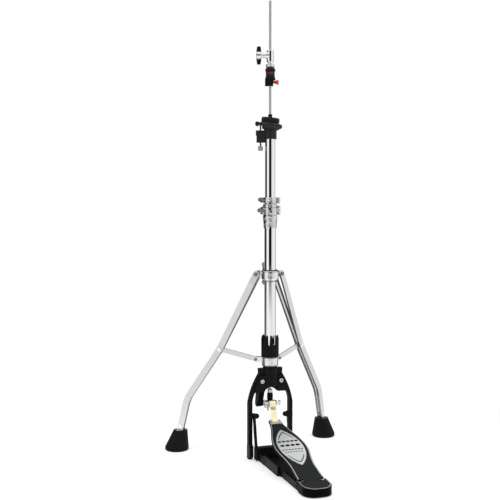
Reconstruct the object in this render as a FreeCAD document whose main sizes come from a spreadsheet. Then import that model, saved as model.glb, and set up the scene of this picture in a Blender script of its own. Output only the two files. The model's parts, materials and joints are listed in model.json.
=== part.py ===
import FreeCAD, Part
import math
import os
import Sketcher
from types import SimpleNamespace

# A hi-hat stand: a pedal on a folding base pulls a rod down through two telescoping tubes.
# Frame: millimetres, +Z up, floor at Z = 0, origin on the floor under the pull rod.
# The pedal reaches forward along -Y, and +X is to the right. "Forward" distances are -Y.

DIMENSIONS = {
    # Pull rod and tubes
    "rod_radius": 3,
    "rod_top": 1139,
    "rod_bottom": 150,
    "rod_joint_height": 408,
    "lower_tube_radius": 14.3,
    "lower_tube_bore": 12.78,
    "lower_tube_foot": 184,
    "lower_tube_top": 600,
    "upper_tube_radius": 12.7,
    "upper_tube_bore": 11.3,
    "upper_tube_foot": 485,
    "upper_tube_top": 812,
    "running_gap": 0.06,
    # Cast frame around the pedal
    "hub_radius": 19,
    "hub_foot": 181,
    "hub_top": 231.3,
    "post_outer": 58.5,
    "post_inner": 48.5,
    "post_depth": 13,
    "arch_spring_height": 140,
    "frame_pad_height": 3,
    "post_foot_height": 36,
    "plate_screw_offset": 25,
    "plate_screw_height": 195,
    # Return spring and its tension dial
    "dial_radius": 22,
    "dial_foot": 255.3,
    "dial_top": 308,
    "seat_pin_height": 287,
    "spring_wire_radius": 1.1,
    "spring_radius": 9.5,
    "spring_turns": 8,
    "coupler_height": 396,
    # Clamps on the tubes
    "joint_foot": 576.5,
    "joint_top": 636,
    "joint_bolt_height": 620,
    "lock_foot": 638,
    "lock_top": 653,
    "lock_bolt_height": 647,
    "clamp_bolt_offset": 19,
    "clamp_bolt_radius": 3,
    # Leg base
    "leg_collar_radius": 22,
    "leg_collar_foot": 444.5,
    "leg_collar_top": 470.6,
    "leg_pivot_reach": 33,
    "leg_pivot_height": 461,
    "brace_collar_radius": 20.5,
    "brace_collar_foot": 231.6,
    "brace_collar_top": 255,
    "brace_pivot_reach": 36,
    "brace_pivot_height": 246,
    "brace_joint_reach": 131,
    "brace_joint_height": 266.5,
    "leg_bend_reach": 219,
    "leg_bend_height": 134,
    "foot_mouth_reach": 238,
    "foot_mouth_height": 52,
    "foot_reach": 248,
    "foot_radius": 30.5,
    "foot_mouth_radius": 18,
    "leg_azimuth": 56,
    "bar_depth": 16,
    "bar_width": 5,
    "bar_wall": 1.6,
    # Cymbal seat
    "seat_foot": 797.5,
    "seat_radius": 16,
    "tilt_height": 840,
    "tilt_angle": 6.5,
    "cup_radius": 31,
    "cup_skirt_radius": 21.4,
    "seat_felt_radius": 22.25,
    "seat_felt_top": 851,
    "sleeve_radius": 5,
    "sleeve_top": 859,
    "tilt_screw_offset": 24,
    # Clutch
    "clutch_barrel_radius": 9,
    "clutch_barrel_foot": 987,
    "clutch_barrel_top": 1017,
    "clutch_screw_height": 1004,
    "clutch_sleeve_radius": 4.75,
    "clutch_nut_radius": 13,
    "clutch_wing_hub_radius": 10.3,
    "clutch_wing_reach": 22,
    "clutch_nut_foot": 929,
    "clutch_nut_top": 949,
    "hardware_turn": -20,
    # Pedal
    "fold_forward": 8,
    "fold_height": 108,
    "lever_pivot_forward": -28,
    "lever_pivot_height": 132,
    "strap_shaft_forward": 16,
    "strap_shaft_height": 139.5,
    "cross_pin_height": 136.8,
    "strap_width": 16,
    "hinge_forward": 274,
    "hinge_height": 24,
    "board_length": 255.3,
    "board_angle": 17.34,
    "board_thickness": 5,
    "hinge_drop": 4.2,
    "hinge_barrel_radius": 4.4,
    "badge_middle": 133.5,
    "badge_half_length": 72,
    "badge_half_width": 31,
    "base_half_width": 40,
    "base_heel_half_width": 31,
    "heel_half_width": 35,
    "heel_forward": 328,
    "heel_edge_height": 20.5,
    "heel_hinge_height": 24,
}

doc = FreeCAD.newDocument("HiHatStand")
sheet = doc.addObject("Spreadsheet::Sheet", "Sizes")


class Size:
    """A length that knows its value and the sheet expression it comes from."""

    def __init__(self, value, text):
        self.value = float(value)
        self.text = text

    def __add__(self, other):
        return combine(self, "+", other)

    def __radd__(self, other):
        return combine(other, "+", self)

    def __sub__(self, other):
        return combine(self, "-", other)

    def __rsub__(self, other):
        return combine(other, "-", self)

    def __mul__(self, other):
        return combine(self, "*", other)

    def __neg__(self):
        return combine(0, "-", self)


def as_size(amount):
    if isinstance(amount, Size):
        return amount
    return Size(amount, f"({amount:.6g})")


def combine(left, sign, right):
    left = as_size(left)
    right = as_size(right)
    values = {
        "+": left.value + right.value,
        "-": left.value - right.value,
        "*": left.value * right.value,
    }
    return Size(values[sign], f"({left.text} {sign} {right.text})")


def fill_sheet():
    for row, (alias, value) in enumerate(DIMENSIONS.items(), 1):
        sheet.set(f"A{row}", alias)
        sheet.set(f"B{row}", str(value))
        sheet.setAlias(f"B{row}", alias)
    doc.recompute()
    sizes = {}
    for alias in DIMENSIONS:
        sizes[alias] = Size(getattr(sheet, alias), f"Sizes.{alias}")
    return SimpleNamespace(**sizes)


def bind(target, path, amount):
    """Set a property to a size, and bind it to the sheet."""
    target.setExpression(path, as_size(amount).text)


dim = fill_sheet()
num = SimpleNamespace(**{alias: getattr(dim, alias).value for alias in DIMENSIONS})
pieces = {}


def point(x, y, z):
    return FreeCAD.Vector(x, y, z)


X_AXIS = point(1, 0, 0)
Y_AXIS = point(0, 1, 0)
Z_AXIS = point(0, 0, 1)


# Part design helpers

class Piece:
    """One sub-part grown from sketches in its own body."""

    def __init__(self, label):
        self.label = label
        self.body = doc.addObject("PartDesign::Body", label)
        self.body.Label = label
        self.steps = 0
        pieces[label] = self.body

    def name(self, kind):
        self.steps += 1
        return f"{self.label}_{kind}{self.steps}"

    def sketch(self, plane, loops, offset=0):
        sketch = self.body.newObject("Sketcher::SketchObject", self.name("sketch"))
        planes = {item.Role: item for item in self.body.Origin.OriginFeatures}
        sketch.AttachmentSupport = [(planes[f"{plane}_Plane"], "")]
        sketch.MapMode = "FlatFace"
        bind(sketch, "AttachmentOffset.Base.z", offset)
        for loop in loops:
            if loop[0] == "circle":
                draw_circle(sketch, *loop[1:])
            else:
                draw_polygon(sketch, loop)
        return sketch

    def feature(self, kind, sketch):
        feature = self.body.newObject(f"PartDesign::{kind}", self.name(kind.lower()))
        feature.Profile = sketch
        return feature

    def turn(self, corners, kind="Revolution", axis="V_Axis"):
        """Revolve a half outline of (radius, height) corners about the vertical axis."""
        sketch = self.sketch("XZ", [corners])
        feature = self.feature(kind, sketch)
        feature.ReferenceAxis = (sketch, [axis])
        feature.Angle = 360
        return self

    def pad(self, plane, loops, length, offset=0, middle=False):
        feature = self.feature("Pad", self.sketch(plane, loops, offset))
        feature.Midplane = middle
        bind(feature, "Length", length)
        return self

    def cut(self, plane, loops, length, offset=0):
        """Cut symmetrically about the sketch plane, over the whole length."""
        feature = self.feature("Pocket", self.sketch(plane, loops, offset))
        feature.Midplane = True
        bind(feature, "Length", length)
        return self

    def polar(self, count):
        original = self.body.Tip
        pattern = self.body.newObject("PartDesign::PolarPattern", self.name("pattern"))
        pattern.Originals = [original]
        axes = {item.Role: item for item in self.body.Origin.OriginFeatures}
        pattern.Axis = (axes["Z_Axis"], [""])
        pattern.Angle = 360
        pattern.Occurrences = count
        self.body.Tip = pattern
        return self

    def place(self, base=(0, 0, 0), axis=Z_AXIS, angle=0):
        self.body.Placement = FreeCAD.Placement(
            point(*base), FreeCAD.Rotation(axis, angle)
        )
        return self

    def turn_with_hardware(self):
        """Turn a piece about the rod, to where the player reaches its screws."""
        bind(self.body, "Placement.Rotation.Angle", dim.hardware_turn)
        return self


def draw_polygon(sketch, corners):
    corners = [(as_size(x), as_size(y)) for x, y in corners]
    first = sketch.GeometryCount
    count = len(corners)
    for index in range(count):
        start = corners[index]
        end = corners[(index + 1) % count]
        sketch.addGeometry(
            Part.LineSegment(
                point(start[0].value, start[1].value, 0), point(end[0].value, end[1].value, 0)
            ),
            False,
        )
    constraints = []
    for index in range(count):
        following = first + (index + 1) % count
        constraints.append(Sketcher.Constraint("Coincident", first + index, 2, following, 1))
    sketch.addConstraint(constraints)
    for index, (x, y) in enumerate(corners):
        for direction, amount in (("DistanceX", x), ("DistanceY", y)):
            rule = Sketcher.Constraint(direction, -1, 1, first + index, 1, amount.value)
            bind(sketch, f"Constraints[{sketch.addConstraint(rule)}]", amount)


def draw_circle(sketch, x, y, radius):
    x, y, radius = as_size(x), as_size(y), as_size(radius)
    centre = point(x.value, y.value, 0)
    index = sketch.addGeometry(Part.Circle(centre, Z_AXIS, radius.value), False)
    size_rule = sketch.addConstraint(Sketcher.Constraint("Radius", index, radius.value))
    bind(sketch, f"Constraints[{size_rule}]", radius)
    for direction, amount in (("DistanceX", x), ("DistanceY", y)):
        rule = Sketcher.Constraint(direction, -1, 1, index, 3, amount.value)
        bind(sketch, f"Constraints[{sketch.addConstraint(rule)}]", amount)


def rectangle(left, right, low, high):
    return [(left, low), (right, low), (right, high), (left, high)]


def ring(inner, outer, low, high):
    return rectangle(inner, outer, low, high)


def capsule_outline(start, end, radius, sides=5):
    """Corners of a rounded bar between two points in a plane."""
    angle = math.atan2(end[1] - start[1], end[0] - start[0])
    corners = []
    for centre, base in ((end, angle - math.pi / 2), (start, angle + math.pi / 2)):
        for step in range(sides + 1):
            turn = base + math.pi * step / sides
            corners.append((centre[0] + radius * math.cos(turn), centre[1] + radius * math.sin(turn)))
    return corners


# Free-form helpers: castings and pressed bars that sketches alone don't reach

def shaped(label, shape, turned=False):
    """A sub-part whose shape is built directly from the sheet's sizes."""
    item = doc.addObject("Part::Feature", label)
    item.Label = label
    angle = num.hardware_turn if turned else 0
    turn = FreeCAD.Placement(point(0, 0, 0), FreeCAD.Rotation(Z_AXIS, angle))
    place = turn.multiply(shape.Placement)
    item.Shape = shape
    item.Placement = place
    pieces[label] = item
    return item


def fuse(shapes):
    return shapes[0].multiFuse(shapes[1:]).removeSplitter()


def box(x, y, z):
    """A box from three (low, high) pairs."""
    return Part.makeBox(x[1] - x[0], y[1] - y[0], z[1] - z[0], point(x[0], y[0], z[0]))


def rod(radius, start, end):
    start = point(*start)
    along = point(*end) - start
    return Part.makeCylinder(radius, along.Length, start, along)


def extruded(corners, direction, place):
    """Extrude a closed outline: place maps an outline corner to a point in space."""
    wire = Part.makePolygon([place(*corner) for corner in corners + corners[:1]])
    return Part.Face(wire).extrude(direction)


# Frame

def arch_casting():
    """Upright plate with two posts, flaring from shoulders beside the hub."""
    depth = num.post_depth
    outer = num.post_outer
    inner = num.post_inner
    spring = num.arch_spring_height
    foot = num.frame_pad_height
    shoulder = (30, 213)
    notch = (17, 168)
    inner_corner = (42, 166)

    def at(x, z):
        return point(x, -depth / 2, z)

    def half(side):
        ends = [
            (0, 226), (31 * side, 226), (side * shoulder[0], shoulder[1]),
            (side * outer, spring), (side * outer, foot), (side * inner, foot),
            (side * inner, spring), (side * inner_corner[0], inner_corner[1]),
            (side * notch[0], notch[1]), (0, 176),
        ]
        bows = {2: (side * 48, 178), 6: (side * 46.5, 155), 8: (side * 9.5, 174.5)}
        edges = []
        for index in range(len(ends) - 1):
            start = at(*ends[index])
            end = at(*ends[index + 1])
            if index in bows:
                edges.append(Part.Arc(start, at(*bows[index]), end).toShape())
            else:
                edges.append(Part.makeLine(start, end))
        return edges

    edges = half(1) + half(-1)
    wire = Part.Wire(Part.__sortEdges__(edges))
    return Part.Face(wire).extrude(point(0, depth, 0))


def post_foot(side):
    """Block under a post, chamfered at its front corner."""
    low = num.frame_pad_height
    high = num.post_foot_height
    outline = [(-8, low), (8, low), (8, high), (-14, high), (-14, low + 6)]
    width = num.post_outer - num.post_inner
    start = num.post_inner if side > 0 else -num.post_outer
    return extruded(outline, point(width, 0, 0), lambda y, z: point(start, y, z))


def lever_lug():
    """Lug behind the left of the hub that carries the lever's pivot pin."""
    left, right = -27, -12.5
    pivot = (-num.lever_pivot_forward, num.lever_pivot_height)
    eye = rod(9, (left, *pivot), (right, *pivot))
    outline = [(37, pivot[1]), (19, pivot[1]), (8, 158), (2, 176), (2, 200), (14, 200), (30, 165)]
    web = extruded(outline, point(right - left, 0, 0), lambda y, z: point(left, y, z))
    bridge = box((left, -2), (2, 14), (182, 200))
    return [eye, web, bridge]


def build_frame():
    hub_bore = num.lower_tube_radius
    screw_x = num.plate_screw_offset
    screw_z = num.plate_screw_height
    hub = rod(num.hub_radius, (0, 0, num.hub_foot), (0, 0, num.hub_top - 5))
    neck = rod(17.5, (0, 0, num.hub_top - 5), (0, 0, num.hub_top))
    solids = [arch_casting(), hub, neck, post_foot(1), post_foot(-1)] + lever_lug()
    casting = fuse(solids)
    tools = [
        rod(hub_bore, (0, 0, num.lower_tube_foot), (0, 0, num.hub_top + 1)),
        rod(8, (0, 0, num.hub_foot - 20), (0, 0, num.lower_tube_foot + 1)),
        rod(
            num.rod_radius,
            (-28, -num.lever_pivot_forward, num.lever_pivot_height),
            (-10, -num.lever_pivot_forward, num.lever_pivot_height),
        ),
    ]
    for side in (1, -1):
        tools.append(rod(3, (side * screw_x, -8, screw_z), (side * screw_x, 3, screw_z)))
        tools.append(
            rod(4, (side * 62, -num.fold_forward, num.fold_height),
                (side * 47, -num.fold_forward, num.fold_height))
        )
    shaped("base_frame", casting.cut(tools))

    low, high = 168, 208
    back = num.post_depth / 2
    thickness = 5
    outline = [
        (-30, high), (30, high), (37, 196), (42.5, low + 6), (42.5, low), (18, low), (16, low + 5),
        (-16, low + 5), (-18, low), (-42.5, low), (-42.5, low + 6), (-37, 196),
    ]
    plate = extruded(outline, point(0, -thickness, 0), lambda x, z: point(x, -back, z))
    plate_tools = [rod(num.hub_radius + 0.05, (0, 0, 150), (0, 0, 240))]
    for side in (1, -1):
        plate_tools.append(rod(3, (side * screw_x, 0, screw_z), (side * screw_x, -20, screw_z)))
    shaped("front_plate", plate.cut(plate_tools))

    screws = []
    face = -back - thickness
    for side in (1, -1):
        head = rod(5, (side * screw_x, face, screw_z), (side * screw_x, face - 4, screw_z))
        shank = rod(3, (side * screw_x, face, screw_z), (side * screw_x, 3, screw_z))
        socket = hexagon_prism(2.2, (side * screw_x, face - 4, screw_z), 2.5)
        screws.append(head.fuse(shank).removeSplitter().cut(socket))
    shaped("frame_screws", Part.makeCompound(screws))

    pad = Piece("frame_pads")
    for side in (1, -1):
        left = dim.post_inner * side
        right = dim.post_outer * side
        corners = rectangle(left, right, -7, 7)
        pad.pad("XY", [corners], dim.frame_pad_height)

    pin = Piece("lever_pin")
    pivot = ("circle", -dim.lever_pivot_forward, dim.lever_pivot_height, dim.rod_radius)
    pin.pad("YZ", [pivot], 39, offset=-25)


def hexagon_prism(half_width, centre, depth):
    """Hexagonal socket that opens forward (-Y) at centre."""
    corners = []
    reach = half_width / math.cos(math.pi / 6)
    for step in range(6):
        turn = math.pi / 3 * step
        corners.append((centre[0] + reach * math.cos(turn), centre[2] + reach * math.sin(turn)))
    return extruded(corners, point(0, depth, 0), lambda x, z: point(x, centre[1], z))


# Tubes, rod and spring

def build_tubes():
    tube = Piece("lower_tube")
    tube.turn(ring(dim.lower_tube_bore, dim.lower_tube_radius, dim.lower_tube_foot,
                   dim.lower_tube_top))
    slot = rectangle(-2.3, 2.3, dim.seat_pin_height - 4, dim.seat_pin_height + 12)
    tube.cut("XZ", [slot], 40)
    tube.place(axis=Z_AXIS, angle=8)

    Piece("upper_tube").turn(ring(dim.upper_tube_bore, dim.upper_tube_radius,
                                  dim.upper_tube_foot, dim.upper_tube_top))
    Piece("tube_liner").turn(ring(dim.lower_tube_bore, dim.lower_tube_radius,
                                  dim.lower_tube_top, dim.joint_top + 0.7))


def build_rod():
    radius = dim.rod_radius
    Piece("lower_rod").turn([(0, dim.rod_bottom), (radius, dim.rod_bottom),
                             (radius, dim.rod_joint_height), (0, dim.rod_joint_height)])
    Piece("upper_rod").turn([
        (0, dim.rod_joint_height), (radius, dim.rod_joint_height), (radius, dim.rod_top - 1.5),
        (radius - 1.2, dim.rod_top), (0, dim.rod_top),
    ])
    base = dim.coupler_height
    Piece("rod_coupler").turn([
        (radius, base), (11, base), (11, base + 4), (6, base + 4), (6, base + 24),
        (radius, base + 24),
    ])
    nut = Piece("rod_nut")
    nut.turn([(radius, 163), (5, 163), (6, 164), (6, 171), (5, 172), (radius, 172)])

    # Rod end: a ringed rubber-faced block with a cross pin that the lever carries down.
    top = 163
    low = 131
    neck = 147
    profile = [(0, low), (6.5, low), (6.5, neck)]
    for ring_foot in (147, 152, 157):
        profile += [(7.5, ring_foot), (7.5, ring_foot + 3.2), (6.6, ring_foot + 3.6)]
    profile += [(6.6, top), (radius, top), (radius, dim.rod_bottom), (0, dim.rod_bottom)]
    end = Piece("rod_end")
    end.turn(profile)
    end.pad("YZ", [("circle", 0, dim.cross_pin_height, 2.5)], 25, middle=True)


def build_spring():
    low = num.seat_pin_height + 3
    high = num.coupler_height
    wire = num.spring_wire_radius
    slack = 0.05
    height = high - low - 2 * (wire + slack)
    sides = 8
    section = []
    for step in range(sides):
        turn = 2 * math.pi * (step + 0.5) / sides
        section.append(point(num.spring_radius + wire * math.cos(turn), 0, wire * math.sin(turn)))
    helix = Part.makeHelix(height / num.spring_turns, height, num.spring_radius)
    outline = Part.makePolygon(section + section[:1])
    coil = Part.Wire(helix).makePipeShell([outline], True, True)
    coil.translate(point(0, 0, low + wire + slack))
    shaped("return_spring", coil)

    middle = dim.seat_pin_height
    seat = Piece("spring_seat")
    seat.turn(ring(dim.rod_radius + dim.running_gap, dim.lower_tube_bore - dim.running_gap,
                   middle - 3, middle + 3))
    seat.pad("XZ", [("circle", 0, middle, 2)], 34.6, middle=True)
    seat.cut("XY", [("circle", 0, 0, dim.rod_radius + dim.running_gap)], 700)
    seat.place(axis=Z_AXIS, angle=8)

    bore = dim.lower_tube_radius + dim.running_gap
    dial = Piece("tension_dial")
    dial.turn([
        (bore, dim.dial_foot), (dim.dial_radius, dim.dial_foot),
        (dim.dial_radius, dim.dial_top - 8), (dim.dial_radius - 2, dim.dial_top),
        (17.6, dim.dial_top), (17.6, dim.dial_foot + 7), (bore, dim.dial_foot + 7),
    ])
    notch = [(-3.4, 284), (3, 281), (5, dim.dial_top + 1), (-5, dim.dial_top + 1)]
    feature = dial.feature("Pocket", dial.sketch("XZ", [notch], 12))
    feature.Reversed = True
    bind(feature, "Length", 14)
    dial.polar(8)
    dial.place(axis=Z_AXIS, angle=13)


# Clamps on the tubes

def clamp_ears(ear_low, ear_high, slot_low, slot_high):
    """Two ears beside a collar, and the slot that splits both."""
    offset = num.clamp_bolt_offset
    ears = box((-offset - 5, -10), (-12, 12), (ear_low, ear_high))
    slot = box((-offset - 8, -10), (-1, 1), (slot_low, slot_high))
    return ears, slot


def build_clamps():
    offset = num.clamp_bolt_offset
    low = num.joint_foot
    high = num.joint_top
    profile = [
        (0, low), (16.2, low), (16.6, low + 10), (18.2, 606), (18.2, 607), (16.8, 607.3),
        (16.8, 608.6), (18.2, 609), (18.2, 627), (16.8, 627.3), (16.8, 628.6), (18.2, 629),
        (18.2, high - 1), (17.2, high), (0, high),
    ]
    ears, slot = clamp_ears(611, 629.5, 608.6, high + 2)
    lug = fuse([box((14, 21), (-7, 7), (610, 632)), rod(5, (20.5, 2.5, 610), (20.5, 2.5, 632)),
                rod(5, (20.5, -2.5, 610), (20.5, -2.5, 632))])
    casting = fuse([turned_solid(profile), ears, lug])
    bolt_hole = rod(num.clamp_bolt_radius + num.running_gap, (-offset, -20, num.joint_bolt_height),
                    (-offset, 20, num.joint_bolt_height))
    bore = rod(num.lower_tube_radius, (0, 0, low - 1), (0, 0, high + 1))
    pin_hole = rod(1.3, (0, -20, low + 5), (0, -10, low + 5))
    shaped("tube_joint", casting.cut([slot, bolt_hole, bore, pin_hole]), turned=True)

    low = num.lock_foot
    high = num.lock_top
    profile = [(0, low), (16, low), (17, low + 1), (17, high - 1), (16, high), (0, high)]
    ears, slot = clamp_ears(low + 2.5, high - 0.5, low - 1, high + 1)
    knuckles = [box((13, 20), (-4, 4), (low, high))]
    for step in range(4):
        foot = low + step * 3.8
        knuckles.append(rod(5, (20, 0, foot), (20, 0, foot + 3)))
    knuckles.append(rod(4.4, (20, 0, low), (20, 0, high)))
    collar = fuse([turned_solid(profile), ears] + knuckles)
    bolt_hole = rod(num.clamp_bolt_radius + num.running_gap, (-offset, -20, num.lock_bolt_height),
                    (-offset, 20, num.lock_bolt_height))
    bore = rod(num.upper_tube_radius + num.running_gap, (0, 0, low - 1), (0, 0, high + 1))
    shaped("memory_lock", collar.cut([slot, bolt_hole, bore]), turned=True)

    shaped("tube_joint_wing", wing_bolt(num.joint_bolt_height, 13.5), turned=True)
    shaped("memory_lock_wing", wing_bolt(num.lock_bolt_height, 11.5), turned=True)


def turned_solid(corners):
    """Solid of revolution about Z from (radius, height) corners."""
    wire = Part.makePolygon([point(r, 0, z) for r, z in corners + corners[:1]])
    return Part.Face(wire).revolve(point(0, 0, 0), Z_AXIS, 360)


def wing_lobes(reach, thickness, width):
    """Two rounded lobes and a hub in the XZ plane, thickness along +Y from the origin."""
    hub = rod(5.6, (0, -6, 0), (0, thickness, 0))
    lobes = [hub]
    for side in (1, -1):
        centre = side * (reach - width / 2)
        disc = Part.makeCylinder(width / 2, thickness, point(centre, 0, 0), Y_AXIS)
        web = box(tuple(sorted((0, centre))), (0, thickness), (-width * 0.34, width * 0.34))
        lobes += [disc, web]
    wing = fuse(lobes)
    rims = [edge for edge in wing.Edges if len(edge.Vertexes) > 1 and edge.Length > 6
            and abs(edge.BoundBox.YMin - edge.BoundBox.YMax) < 0.01
            and edge.BoundBox.YMin > -1]
    try:
        rounded = wing.makeFillet(thickness * 0.28, rims)
    except Part.OCCError:
        return wing
    return rounded if rounded.isValid() else wing


def wing_bolt(height, reach):
    """Clamp bolt along Y beside a collar, with its wing behind the ears."""
    offset = num.clamp_bolt_offset
    wing = wing_lobes(reach, 3.6, 11)
    wing.translate(point(-offset, 19.2, height))
    shank = rod(num.clamp_bolt_radius, (-offset, -13, height), (-offset, 20, height))
    head = rod(4.4, (-offset, -15.3, height), (-offset, -12.3, height))
    return fuse([wing, shank, head])


# Legs and braces

def build_leg_base():
    gap = dim.lower_tube_radius + dim.running_gap
    low = num.brace_collar_foot
    high = num.brace_collar_top
    azimuths = (90 - num.leg_azimuth, 90 + num.leg_azimuth)
    collar = turned_solid([(0, low), (num.brace_collar_radius - 1, low),
                           (num.brace_collar_radius, low + 1), (num.brace_collar_radius, high - 1),
                           (num.brace_collar_radius - 1, high), (0, high)])
    ears = []
    pins = []
    reach = num.brace_pivot_reach
    height = num.brace_pivot_height
    for azimuth in azimuths:
        for side in (1, -1):
            near, far = sorted((side * 2.4, side * 5))
            plate = fuse([box((12, reach), (near, far), (height - 6.5, height + 6.5)),
                          rod(6.5, (reach, near, height), (reach, far, height))])
            ears.append(turned_about_rod(plate, azimuth))
        pin = fuse([rod(2.5, (reach, -5.5, height), (reach, 5.5, height)),
                    rod(4, (reach, 5.05, height), (reach, 6.4, height)),
                    rod(4, (reach, -6.4, height), (reach, -5.05, height))])
        pins.append(turned_about_rod(pin, azimuth))
    bore = rod(gap.value, (0, 0, low - 1), (0, 0, high + 1))
    shaped("brace_collar", fuse([collar] + ears).cut([bore] + pins))
    shaped("brace_pins", Part.makeCompound(pins))

    low = num.leg_collar_foot
    high = num.leg_collar_top
    radius = num.leg_collar_radius
    collar = turned_solid([(0, low), (17, low), (radius, low + 6.5), (radius, high - 1),
                           (radius - 1, high), (0, high)])
    reach = num.leg_pivot_reach
    height = num.leg_pivot_height
    ears = []
    pins = []
    for azimuth in azimuths:
        ear = fuse([box((12, reach), (-8.6, 8.6), (height - 7, height + 7)),
                    rod(7, (reach, -8.6, height), (reach, 8.6, height))])
        ears.append(turned_about_rod(ear, azimuth))
        pin = fuse([rod(3, (reach, -15, height), (reach, 15, height)),
                    rod(5, (reach, 14.6, height), (reach, 16.4, height)),
                    rod(5, (reach, -16.4, height), (reach, -14.6, height))])
        pins.append(turned_about_rod(pin, azimuth))
    boss = rod(7, (15, 0, height - 1), (27, 0, height - 1))
    bolt_azimuth = 95
    boss = turned_about_rod(boss, bolt_azimuth)
    bolt_hole = turned_about_rod(rod(3.06, (13, 0, height - 1), (30, 0, height - 1)), bolt_azimuth)
    bore = rod(16.2, (0, 0, low - 1), (0, 0, high + 1))
    shaped("leg_collar", fuse([collar, boss] + ears).cut([bore, bolt_hole] + pins))
    shaped("leg_pins", Part.makeCompound(pins))

    wing = wing_lobes(29, 4, 13)
    wing.rotate(point(0, 0, 0), Y_AXIS, 90)
    wing.rotate(point(0, 0, 0), Z_AXIS, -90)
    wing.translate(point(33.2, 0, 0))
    shank = rod(3, (16.6, 0, 0), (34, 0, 0))
    bolt = fuse([wing, shank])
    bolt.translate(point(0, 0, height - 1))
    shaped("collar_wing", turned_about_rod(bolt, bolt_azimuth))

    Piece("collar_liner").turn([
        (gap, low - 1.5), (17, low - 1.5), (17, low), (16.2, low), (16.2, high),
        (19.5, high), (19.5, high + 1.6), (gap, high + 1.6),
    ])


def turned_about_rod(shape, azimuth):
    copy = shape.copy()
    copy.rotate(point(0, 0, 0), Z_AXIS, azimuth)
    return copy


def leg_stations(side):
    """Places along one bar of a leg: (reach, height, sideways centre, half depth)."""
    pivot = (num.leg_pivot_reach, num.leg_pivot_height)
    brace = (num.brace_joint_reach, num.brace_joint_height)
    bend = (num.leg_bend_reach, num.leg_bend_height)
    mouth = (num.foot_mouth_reach, num.foot_mouth_height)
    half = num.bar_depth / 2
    wide = 12
    narrow = 5.25
    kink = 27

    def between(start, end, distance):
        length = math.dist(start, end)
        share = distance / length
        return (start[0] + (end[0] - start[0]) * share, start[1] + (end[1] - start[1]) * share)

    def rounded(before, corner, after, radius):
        stations = []
        for step in range(5):
            share = step / 4
            start = between(corner, before, radius * (1 - share))
            end = between(corner, after, radius * share)
            stations.append(((1 - share) * start[0] + share * end[0],
                             (1 - share) * start[1] + share * end[1]))
        return stations

    stations = []
    for distance, share in ((-8, 0.35), (-6.6, 0.72), (-3.5, 0.95), (0, 1)):
        stations.append((*between(pivot, brace, distance), wide, half * share))
    stations.append((*between(pivot, brace, kink), wide, half))
    length = math.dist(pivot, brace)
    stations.append((*between(pivot, brace, length - 16), narrow, half))
    for reach, height in rounded(pivot, brace, bend, 14):
        stations.append((reach, height, narrow, half))
    for reach, height in rounded(brace, bend, mouth, 17):
        stations.append((reach, height, narrow, half))
    slope = (mouth[0] - bend[0]) / (bend[1] - mouth[1])
    end_height = 30
    stations.append((mouth[0] + slope * (mouth[1] - end_height), end_height, narrow, half))
    return [(reach, height, side * across, half) for reach, height, across, half in stations]


def channel_bar(stations, side):
    """Pressed channel lofted along its stations, open towards the leg's middle."""
    wall = num.bar_wall
    width = num.bar_width
    sections = []
    for index, (reach, height, across, half) in enumerate(stations):
        before = stations[max(index - 1, 0)]
        after = stations[min(index + 1, len(stations) - 1)]
        along = point(after[0] - before[0], 0, after[1] - before[1]).normalize()
        normal = point(along.z, 0, -along.x)
        outer = across + side * width / 2
        inner = across - side * width / 2
        web = outer - side * wall
        corners = [(-half, outer), (half, outer), (half, inner), (half - wall, inner),
                   (half - wall, web), (wall - half, web), (wall - half, inner), (-half, inner)]
        centre = point(reach, 0, height)
        places = [centre + normal * depth + point(0, y, 0) for depth, y in corners]
        sections.append(Part.makePolygon(places + places[:1]))
    return Part.makeLoft(sections, True, True)


def build_leg(name, azimuth):
    pivot = (num.leg_pivot_reach, num.leg_pivot_height)
    brace = (num.brace_joint_reach, num.brace_joint_height)
    mouth = (num.foot_mouth_reach, num.foot_mouth_height)
    rivet_height = mouth[1] + 12
    slope = (mouth[0] - num.leg_bend_reach) / (num.leg_bend_height - mouth[1])
    rivet = (mouth[0] - slope * 12, rivet_height)
    bars = []
    for side in (1, -1):
        bar = channel_bar(leg_stations(side), side)
        tools = [rod(3 + num.running_gap, (pivot[0], -20, pivot[1]), (pivot[0], 20, pivot[1])),
                 rod(2.5, (brace[0], -20, brace[1]), (brace[0], 20, brace[1])),
                 rod(2.2, (rivet[0], -20, rivet[1]), (rivet[0], 20, rivet[1]))]
        bars.append(bar.cut(tools))
    shaped(f"{name}_leg_bars", turned_about_rod(Part.makeCompound(bars), azimuth))

    fittings = []
    outer = 7.75
    for side in (1, -1):
        shank = rod(2.5, (brace[0], side * 3.4, brace[1]), (brace[0], side * outer, brace[1]))
        head = rod(5, (brace[0], side * outer, brace[1]), (brace[0], side * (outer + 1.4), brace[1]))
        fittings.append(fuse([shank, head]))
    foot_rivet = [rod(2.2, (rivet[0], -outer, rivet[1]), (rivet[0], outer, rivet[1]))]
    for side in (1, -1):
        foot_rivet.append(rod(4, (rivet[0], side * outer, rivet[1]),
                              (rivet[0], side * (outer + 1.3), rivet[1])))
    fittings.append(fuse(foot_rivet))
    band = foot_cone(14.5, 14.5, mouth[1] - 9, mouth[1] + 1.2)
    band = band.cut(foot_cone(12.6, 12.6, mouth[1] - 10, mouth[1] + 3))
    fittings.append(band)
    shaped(f"{name}_leg_fittings", turned_about_rod(Part.makeCompound(fittings), azimuth))

    lip = 8
    skirt = [foot_circle(num.foot_radius, lip), foot_circle(num.foot_mouth_radius, mouth[1])]
    cone = Part.makeLoft(skirt, True, False)
    sole = num.foot_reach
    disc = turned_solid([(0, 0), (28, 0), (num.foot_radius, 2.5), (num.foot_radius, lip), (0, lip)])
    disc.translate(point(sole, 0, 0))
    cavity = foot_cone(14.55, 14.55, 26, mouth[1] + 3)
    rubber = fuse([cone, disc]).cut(cavity)
    shaped(f"{name}_foot", turned_about_rod(rubber, azimuth))


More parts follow.
